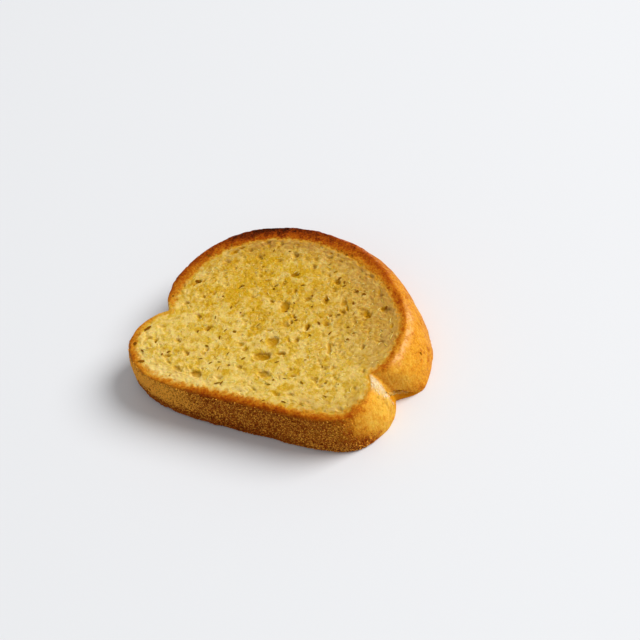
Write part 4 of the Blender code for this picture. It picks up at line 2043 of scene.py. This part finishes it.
    def warped(self, pitch: float, amount: float, place: Socket | None = None) -> Socket:
        """Push the coordinates about, so that what is drawn on them looks grown.

        Args:
            pitch: How many hills of the noise that pushes there are in a millimetre.
            amount: How far it pushes, in millimetres.
            place: The coordinates, where they aren't the plain ones.

        Returns:
            The coordinates.
        """
        noise = self.node("ShaderNodeTexNoise")
        noise.inputs["Scale"].default_value = pitch
        noise.inputs["Detail"].default_value = 2.0
        self.link(place or self.place, noise.inputs["Vector"])
        push = self.vector("SUBTRACT", noise.outputs["Color"], (0.5, 0.5, 0.5))
        return self.vector("ADD", place or self.place, self.vector("SCALE", push, 2.0 * amount))

    def lot(self, cells: bpy.types.Node) -> Socket:
        """Return a random number for each cell."""
        split = self.node("ShaderNodeSeparateColor")
        self.link(cells.outputs["Color"], split.inputs[0])
        return split.outputs[0]

    def spread_light(self, share: float, depth: float) -> None:
        """Let light spread under the surface, the red part furthest.

        Args:
            share: How much of the light does.
            depth: How far it spreads, in millimetres.
        """
        self.shader.inputs["Subsurface Weight"].default_value = share
        self.shader.inputs["Subsurface Radius"].default_value = (1.0, 0.5, 0.15)
        self.shader.inputs["Subsurface Scale"].default_value = depth * MM

    def relief(self, height: object, depth: float) -> None:
        """Bump the surface.

        Args:
            height: The relief, from 0 to 1.
            depth: How deep it is, in millimetres.
        """
        made = self.node("ShaderNodeBump")
        made.inputs["Distance"].default_value = depth * MM
        self.link(height, made.inputs["Height"])
        self.link(made.outputs["Normal"], self.shader.inputs["Normal"])


@dataclass(frozen=True)
class BreadFinish:
    """Toasted crumb and baked crust in one material.

    Attributes:
        cream: The dry crumb that no butter reached.
        yellow: The buttered crumb.
        gold: Where the butter soaked in and browned.
        walls: How much lighter the thin walls between pores are, partly painted light on their crests.
        shade: How much of the colour is left at the bottoms of the pores, as painted shade.
        tan: Where the crumb dried to a dull brown.
        glow: The golden crumb next to the crust.
        toasted: The drier, browner crumb under the crown.
        painted_highlight: Pale patches of painted highlight on the greasy shoulder of the dome.
        golden: The bottoms of the large hollows.
        browned: The bottoms of the most browned ones.
        torn: Bare white crumb where the crust tore.
        recess: The oily hollow under the torn lip.
        speck: The smallest dark dots.
        meal_light: The grains of meal on the foot.
        meal_dark: The crust between them.
        crust: The crust from straw to nearly black.
        scallops: How far its inner edge strays in and out.
        grit: How many grains of meal there are in a millimetre.
        bump_depth: How deep the finest bumps are.
        roughness: Of the crumb and of the crust.
        gloss: How much the surface mirrors.
        softness: How much of the light spreads under the surface.
        soft_depth: How far it spreads.
        sheen_roughness: Of the grease on the crust of the dome.
    """

    cream: Colour = (0.82, 0.62, 0.230, 1.0)
    yellow: Colour = (0.63, 0.388, 0.015, 1.0)
    gold: Colour = (0.56, 0.298, 0.001, 1.0)
    walls: Colour = (0.105, 0.085, 0.022, 1.0)
    shade: Colour = (0.68, 0.54, 0.16, 1.0)
    tan: Colour = (0.50, 0.265, 0.042, 1.0)
    glow: Colour = (0.66, 0.28, 0.012, 1.0)
    toasted: Colour = (0.42, 0.21, 0.038, 1.0)
    painted_highlight: Colour = (0.90, 0.44, 0.125, 1.0)
    golden: Colour = (0.50, 0.235, 0.003, 1.0)
    browned: Colour = (0.17, 0.055, 0.003, 1.0)
    torn: Colour = (0.80, 0.63, 0.37, 1.0)
    recess: Colour = (0.66, 0.245, 0.003, 1.0)
    speck: Colour = (0.12, 0.050, 0.007, 1.0)
    meal_light: Colour = (0.86, 0.28, 0.018, 1.0)
    meal_dark: Colour = (0.160, 0.025, 0.001, 1.0)
    crust: tuple[tuple[float, Colour], ...] = (
        (0.00, (0.78, 0.43, 0.050, 1.0)),
        (0.25, (0.68, 0.285, 0.018, 1.0)),
        (0.45, (0.50, 0.152, 0.005, 1.0)),
        (0.65, (0.34, 0.062, 0.0015, 1.0)),
        (0.85, (0.14, 0.017, 0.0006, 1.0)),
        (1.00, (0.045, 0.007, 0.0006, 1.0)),
    )
    scallops: Pair = (-1.3, 1.3)
    grit: float = 1.35
    bump_depth: float = 0.15
    roughness: Pair = (0.66, 0.40)
    gloss: float = 0.025
    softness: float = 0.5
    soft_depth: float = 1.4
    sheen_roughness: float = 0.46

    def open_cells(self, mix: Recipe) -> Socket:
        """Draw the small open cells of the crumb, large and fine ones.

        Args:
            mix: The material's recipe.

        Returns:
            How open the crumb is, from 0 on the walls to 1 in the cells.
        """
        near = mix.attribute("near_rim")
        total = 0.0
        for pitch, walls, weight in ((0.36, 0.09, 0.85), (0.80, 0.08, 0.55)):
            kinds = []
            for base in (mix.place, mix.woven()):
                place = mix.warped(pitch * 1.3, 0.3 / pitch, base)
                edge = mix.cells(pitch, "DISTANCE_TO_EDGE", place).outputs["Distance"]
                lot = mix.ease(mix.lot(mix.cells(pitch, "F1", place)), 0.25, 1.0, 0.0, weight)
                kinds.append(mix.times(mix.ease(edge, walls, walls + 0.30), lot))
            total = mix.math("MAXIMUM", total, mix.between(*kinds, near))
        return total

    def past_crust(self, mix: Recipe, reach: Socket) -> Socket:
        """Return how far in from the crust's inner edge a place lies, in millimetres."""
        return mix.times(mix.math("SUBTRACT", reach, 1.0), mix.attribute("band"))

    def crumb_colour(self, mix: Recipe, cells: Socket) -> Socket:
        """Colour the cut faces.

        Args:
            mix: The material's recipe.
            cells: How open the crumb is.

        Returns:
            The colour.
        """
        plain = mix.noise(0.5, 2.0, 0.55, 1.4)
        along = mix.noise(0.6, 2.0, 0.55, 0.6, place=mix.woven())
        strands = mix.between(plain, along, mix.attribute("near_rim"))
        ridges = mix.math("ABSOLUTE", mix.math("SUBTRACT", strands, 0.5))
        blotches = mix.noise(0.13, 3.0, 0.5)
        patches = mix.noise(0.34, 3.0, 0.5, 0.5)
        butter = mix.plus(mix.attribute("butter"), mix.ease(blotches, 0.40, 0.64, -0.25, 0.5))
        butter = mix.plus(butter, mix.ease(patches, 0.40, 0.66, -0.22, 0.42), clamp=True)
        butter = mix.times(butter, mix.ease(ridges, 0.0, 0.05, 0.35, 0.9))
        colour = mix.mix(self.yellow, self.cream, mix.ease(patches, 0.64, 0.36, 0.14, 0.66))
        colour = mix.mix(colour, self.gold, butter)
        # Partly painted light: the thin walls between the pores are lightened along their crests.
        colour = mix.mix(colour, self.walls, mix.ease(ridges, 0.035, 0.0), "ADD")
        dry = mix.plus(mix.attribute("dry"), mix.ease(blotches, 0.55, 0.3, 0.0, 0.12))
        streaks = mix.ease(mix.noise(0.55, 3.0, 0.6), 0.35, 0.68, 0.5, 1.5)
        colour = mix.mix(colour, self.tan, mix.times(dry, streaks, clamp=True))
        # Painted shade: the pores and the open cells are darkened towards their bottoms.
        pit_shade = mix.plus(mix.times(mix.attribute("pit"), 0.8), mix.times(cells, 0.85), clamp=True)
        colour = mix.mix(colour, self.shade, pit_shade, "MULTIPLY")
        beyond = self.past_crust(mix, mix.attribute("reach"))
        toast = mix.times(mix.ease(beyond, 15.0, 0.3), mix.attribute("toast"))
        mottled = mix.ease(mix.noise(0.5, 3.0, 0.6, 0.6, place=mix.woven()), 0.36, 0.64, 0.4, 1.4)
        colour = mix.mix(colour, self.toasted, mix.times(toast, mottled, clamp=True))
        fresh = mix.times(mix.attribute("toast"), -1.0, clamp=True)
        colour = mix.mix(colour, self.cream, mix.times(mix.ease(beyond, 9.0, 1.5), fresh))
        uneven = mix.ease(mix.noise(0.9, 3.0), 0.3, 0.7, 0.7, 1.3)
        stain = mix.times(mix.attribute("stain"), uneven, clamp=True)
        colour = mix.mix(colour, self.golden, mix.ease(stain, 0.0, 0.6, 0.0, 0.9))
        colour = mix.mix(colour, self.browned, mix.ease(stain, 0.5, 1.0, 0.0, 0.9))
        specks = mix.cells(0.42)
        chosen = mix.math("GREATER_THAN", mix.lot(specks), 0.86)
        dots = mix.times(mix.ease(specks.outputs["Distance"], 0.26, 0.12), chosen)
        return mix.mix(colour, self.speck, mix.times(dots, 0.22))

    def crust_colour(self, mix: Recipe, reach: Socket) -> Socket:
        """Colour the crust.

        Args:
            mix: The material's recipe.
            reach: How far on to the cut face the place is, in widths of the crust.

        Returns:
            The colour.
        """
        blotches = mix.ease(mix.noise(0.20, 4.0, 0.6, 0.5), 0.25, 0.75, -0.09, 0.09)
        freckles = mix.ease(mix.noise(1.2, 4.0, 0.65), 0.25, 0.75, -0.14, 0.14)
        bake = mix.times(mix.attribute("bake"), mix.ease(reach, 0.10, 1.10, 1.0, 0.56))
        bake = mix.plus(bake, mix.plus(blotches, freckles))
        streaks = mix.ease(mix.noise(0.45, 3.0, 0.6, 0.8, 0.4), 0.3, 0.7, -1.0, 1.0)
        streaked = mix.plus(mix.times(mix.attribute("lobe"), 0.05), 0.04)
        bake = mix.plus(bake, mix.times(streaks, streaked))
        spots = mix.cells(0.24)
        chosen = mix.math("GREATER_THAN", mix.lot(spots), 0.72)
        ragged = mix.ease(mix.noise(0.9, 3.0), 0.2, 0.8, -0.2, 0.2)
        spot = mix.ease(mix.plus(spots.outputs["Distance"], ragged), 0.42, 0.20)
        bake = mix.plus(bake, mix.times(mix.times(spot, chosen), 0.13))
        colour = mix.ramp(bake, self.crust)
        grit = mix.cells(self.grit)
        height = mix.plus(grit.outputs["Distance"], mix.ease(mix.lot(grit), 0.0, 1.0, -0.22, 0.22))
        sandy = mix.times(mix.attribute("meal"), 0.9)
        light = mix.times(mix.ease(height, 0.36, 0.14), mix.times(sandy, 0.75))
        deep = mix.ease(mix.attribute("bake"), 0.30, 0.62, 0.32, 0.8)
        dark = mix.times(mix.ease(height, 0.36, 0.66), mix.times(sandy, deep))
        colour = mix.mix(colour, self.meal_dark, dark)
        colour = mix.mix(colour, self.meal_light, light)
        # Painted highlight: pale patches where the dome's crust is glossy.
        highlight_patches = mix.ease(mix.noise(0.38, 4.0, 0.62, 0.9, 0.6), 0.46, 0.56, 0.0, 0.75)
        return mix.mix(colour, self.painted_highlight, mix.times(mix.attribute("sheen"), highlight_patches))

    def fine_relief(self, mix: Recipe, cells: Socket, crust: Socket) -> Socket:
        """Draw the finest bumps of the crumb and the crust.

        Args:
            mix: The material's recipe.
            cells: How open the crumb is.
            crust: Where the crust is, from 0 to 1.

        Returns:
            The relief.
        """
        crumb_bumps = mix.math("SUBTRACT", mix.noise(1.0, 3.0, 0.5), mix.times(cells, 1.2))
        crust_bumps = mix.plus(mix.noise(1.4, 5.0, 0.65), mix.noise(0.5, 2.0, 0.5))
        grit = mix.ease(mix.cells(self.grit).outputs["Distance"], 0.7, 0.1, 0.0, 2.0)
        crust_bumps = mix.plus(crust_bumps, mix.times(grit, mix.attribute("meal")))
        share = mix.ease(crust, 0.3, 0.8)
        return mix.plus(mix.times(crumb_bumps, mix.math("SUBTRACT", 1.0, share)),
                        mix.times(crust_bumps, mix.times(share, 2.3)))

    def material(self) -> bpy.types.Material:
        """Make the material.

        Returns:
            The material.
        """
        mix = Recipe("toasted_bread")
        cells = self.open_cells(mix)
        scallops = mix.ease(mix.noise(0.42, 5.0, 0.68, 0.3), 0.25, 0.75, *self.scallops)
        strayed = mix.math("DIVIDE", scallops, mix.attribute("band"))
        reach = mix.plus(mix.attribute("reach"), strayed)
        beyond = self.past_crust(mix, reach)
        crust = mix.ease(beyond, 0.5, -1.1)
        glow = mix.ease(beyond, 1.6, -0.2, 0.0, 0.8)
        colour = mix.mix(self.crumb_colour(mix, cells), self.glow, glow)
        colour = mix.mix(colour, self.crust_colour(mix, reach), crust)
        fluff = mix.ease(mix.noise(0.8, 3.0, 0.6), 0.3, 0.7, 0.7, 1.1)
        torn = mix.times(mix.attribute("torn"), fluff, clamp=True)
        colour = mix.mix(colour, self.torn, torn)
        hollow = mix.times(mix.attribute("recess"), mix.ease(fluff, 0.7, 1.1, 1.0, 0.7))
        colour = mix.mix(colour, self.recess, hollow)
        mix.link(colour, mix.shader.inputs["Base Color"])
        rough = mix.ease(crust, 0.4, 0.9, *self.roughness)
        rough = mix.plus(rough, mix.ease(mix.noise(0.8, 3.0), 0.3, 0.7, -0.07, 0.09))
        rough = mix.plus(rough, mix.times(mix.attribute("meal"), 0.3))
        mix.link(rough, mix.shader.inputs["Roughness"])
        mix.shader.inputs["Specular IOR Level"].default_value = self.gloss
        mix.relief(self.fine_relief(mix, cells, crust), self.bump_depth)
        mix.spread_light(self.softness, self.soft_depth)
        greasy = mix.ease(mix.noise(0.16, 3.0, 0.55), 0.38, 0.56, 0.45, 1.0)
        mix.link(mix.times(mix.attribute("sheen"), greasy), mix.shader.inputs["Coat Weight"])
        mix.shader.inputs["Coat Roughness"].default_value = self.sheen_roughness
        return mix.material


@dataclass(frozen=True)
class LooseFinish:
    """The finish of small loose things, each between two colours by its own tone.

    Attributes:
        name: The material's name.
        first: The colour at tone 0.
        last: The colour at tone 1.
        patches: The pitch, detail and roughness of the noise that shifts the tone.
        steep: Between which values of that noise it does.
        shift: How far, up and down.
        bumps: The pitch and the detail of the surface's bumps.
        bump_depth: How deep these are.
        roughness: How matt the things are.
        gloss: How much they mirror.
        softness: How much of the light spreads in them.
        soft_depth: How far it spreads.
    """

    name: str
    first: Colour
    last: Colour
    patches: Triple
    steep: Pair
    shift: float
    bumps: Pair
    bump_depth: float
    roughness: float
    gloss: float
    softness: float = 0.0
    soft_depth: float = 0.0

    def material(self) -> bpy.types.Material:
        """Make the material.

        Returns:
            The material.
        """
        mix = Recipe(self.name)
        shift = mix.ease(mix.noise(*self.patches), *self.steep, -self.shift, self.shift)
        tone = mix.plus(mix.attribute("tone"), shift, clamp=True)
        mix.link(mix.mix(self.first, self.last, tone), mix.shader.inputs["Base Color"])
        mix.shader.inputs["Roughness"].default_value = self.roughness
        mix.shader.inputs["Specular IOR Level"].default_value = self.gloss
        if self.softness:
            mix.spread_light(self.softness, self.soft_depth)
        mix.relief(mix.noise(*self.bumps), self.bump_depth)
        return mix.material


# Grains of meal, from toasted brown to pale straw.
MEAL_FINISH = LooseFinish(
    "toasted_meal", first=(0.33, 0.060, 0.002, 1.0), last=(0.98, 0.46, 0.050, 1.0),
    patches=(2.5, 2.0, 0.55), steep=(0.3, 0.7), shift=0.15,
    bumps=(5.0, 2.0), bump_depth=0.05, roughness=0.6, gloss=0.04)
# Threads of crumb, from butter yellow to cream.
THREAD_FINISH = LooseFinish(
    "crumb_thread", first=(0.74, 0.47, 0.05, 1.0), last=(0.84, 0.66, 0.24, 1.0),
    patches=(0.3, 3.0, 0.55), steep=(0.35, 0.65), shift=0.4,
    bumps=(3.0, 3.0), bump_depth=0.05, roughness=0.6, gloss=0.1,
    softness=0.3, soft_depth=0.5)
# Torn shreds, from nearly white crumb to toasted gold.
SHRED_FINISH = LooseFinish(
    "torn_crumb", first=(0.82, 0.68, 0.44, 1.0), last=(0.72, 0.33, 0.025, 1.0),
    patches=(0.9, 3.0, 0.55), steep=(0.35, 0.65), shift=0.15,
    bumps=(2.4, 4.0), bump_depth=0.15, roughness=0.7, gloss=0.15,
    softness=0.3, soft_depth=0.6)
# Dried herb, from scorched brown to dark olive.
HERB_FINISH = LooseFinish(
    "dried_herb", first=(0.20, 0.062, 0.002, 1.0), last=(0.30, 0.150, 0.004, 1.0),
    patches=(3.0, 3.0, 0.6), steep=(0.3, 0.7), shift=0.3,
    bumps=(4.0, 3.0), bump_depth=0.06, roughness=0.7, gloss=0.02)


@dataclass(frozen=True)
class Studio:
    """The pale floor, the soft light and the camera.

    Attributes:
        floor_size: The floor's width.
        floor_colour: Its colour.
        key_direction: Where the key light comes from.
        key_distance: How far away it is.
        key_size: Its width.
        key_power: Its power, in watts.
        sky: The colour of the even light.
        sky_strength: How strong that is.
    """

    floor_size: float = 6000.0
    floor_colour: Colour = (0.80, 0.805, 0.82, 1.0)
    key_direction: Triple = (0.612, 0.421, 0.669)
    key_distance: float = 6000.0
    key_size: float = 3800.0
    key_power: float = 401.0
    sky: Colour = (0.97, 0.985, 1.0, 1.0)
    sky_strength: float = 0.41

    def camera(self) -> None:
        """Place the camera."""
        lens = bpy.data.cameras.new("camera")
        lens.lens = VIEW.lens
        lens.sensor_width = VIEW.sensor
        lens.clip_end = 20.0
        camera = add("camera", lens)
        camera.matrix_world = Matrix.Translation(VIEW.stand() * MM) @ VIEW.turned()
        bpy.context.scene.camera = camera

    def floor(self) -> None:
        """Lay the pale floor that the slice lies on."""
        bpy.ops.object.select_all(action="DESELECT")
        bpy.ops.mesh.primitive_plane_add(size=self.floor_size * MM)
        floor = bpy.context.object
        floor.name = "floor"
        recipe = Recipe("pale_floor")
        recipe.shader.inputs["Base Color"].default_value = self.floor_colour
        recipe.shader.inputs["Roughness"].default_value = 0.6
        recipe.shader.inputs["Specular IOR Level"].default_value = 0.2
        floor.data.materials.append(recipe.material)

    def light(self) -> None:
        """Hang the soft key light, and light the room evenly."""
        key = bpy.data.lights.new("key", "AREA")
        key.shape = "DISK"
        key.size = self.key_size * MM
        key.energy = self.key_power
        lamp = add("key", key)
        toward = Vector(self.key_direction).normalized()
        turn = toward.to_track_quat("Z", "Y").to_matrix().to_4x4()
        lamp.matrix_world = Matrix.Translation(toward * self.key_distance * MM) @ turn
        world = bpy.data.worlds.new("room")
        world.use_nodes = True
        background = world.node_tree.nodes["Background"]
        background.inputs["Color"].default_value = self.sky
        background.inputs["Strength"].default_value = self.sky_strength
        bpy.context.scene.world = world
        bpy.context.scene.view_settings.view_transform = "Standard"

    def build(self) -> None:
        """Set up the whole studio."""
        self.camera()
        self.floor()
        self.light()


def main() -> None:
    """Build the slice and the studio, and report each piece."""
    solid = BreadSolid()
    bread = ToastedSlice(solid)
    skin = Skin(bread.build(), 7)
    CrumbThreads().build(skin, solid)
    MealGrains().build(skin)
    TornCrumbs().build(skin, solid)
    HerbLeaves().build(skin, solid, bread.level)
    bpy.data.objects.remove(solid.body, do_unlink=True)
    Studio().build()


if __name__ == "__main__":
    logging.basicConfig(level=logging.INFO, format="%(message)s")
    main()
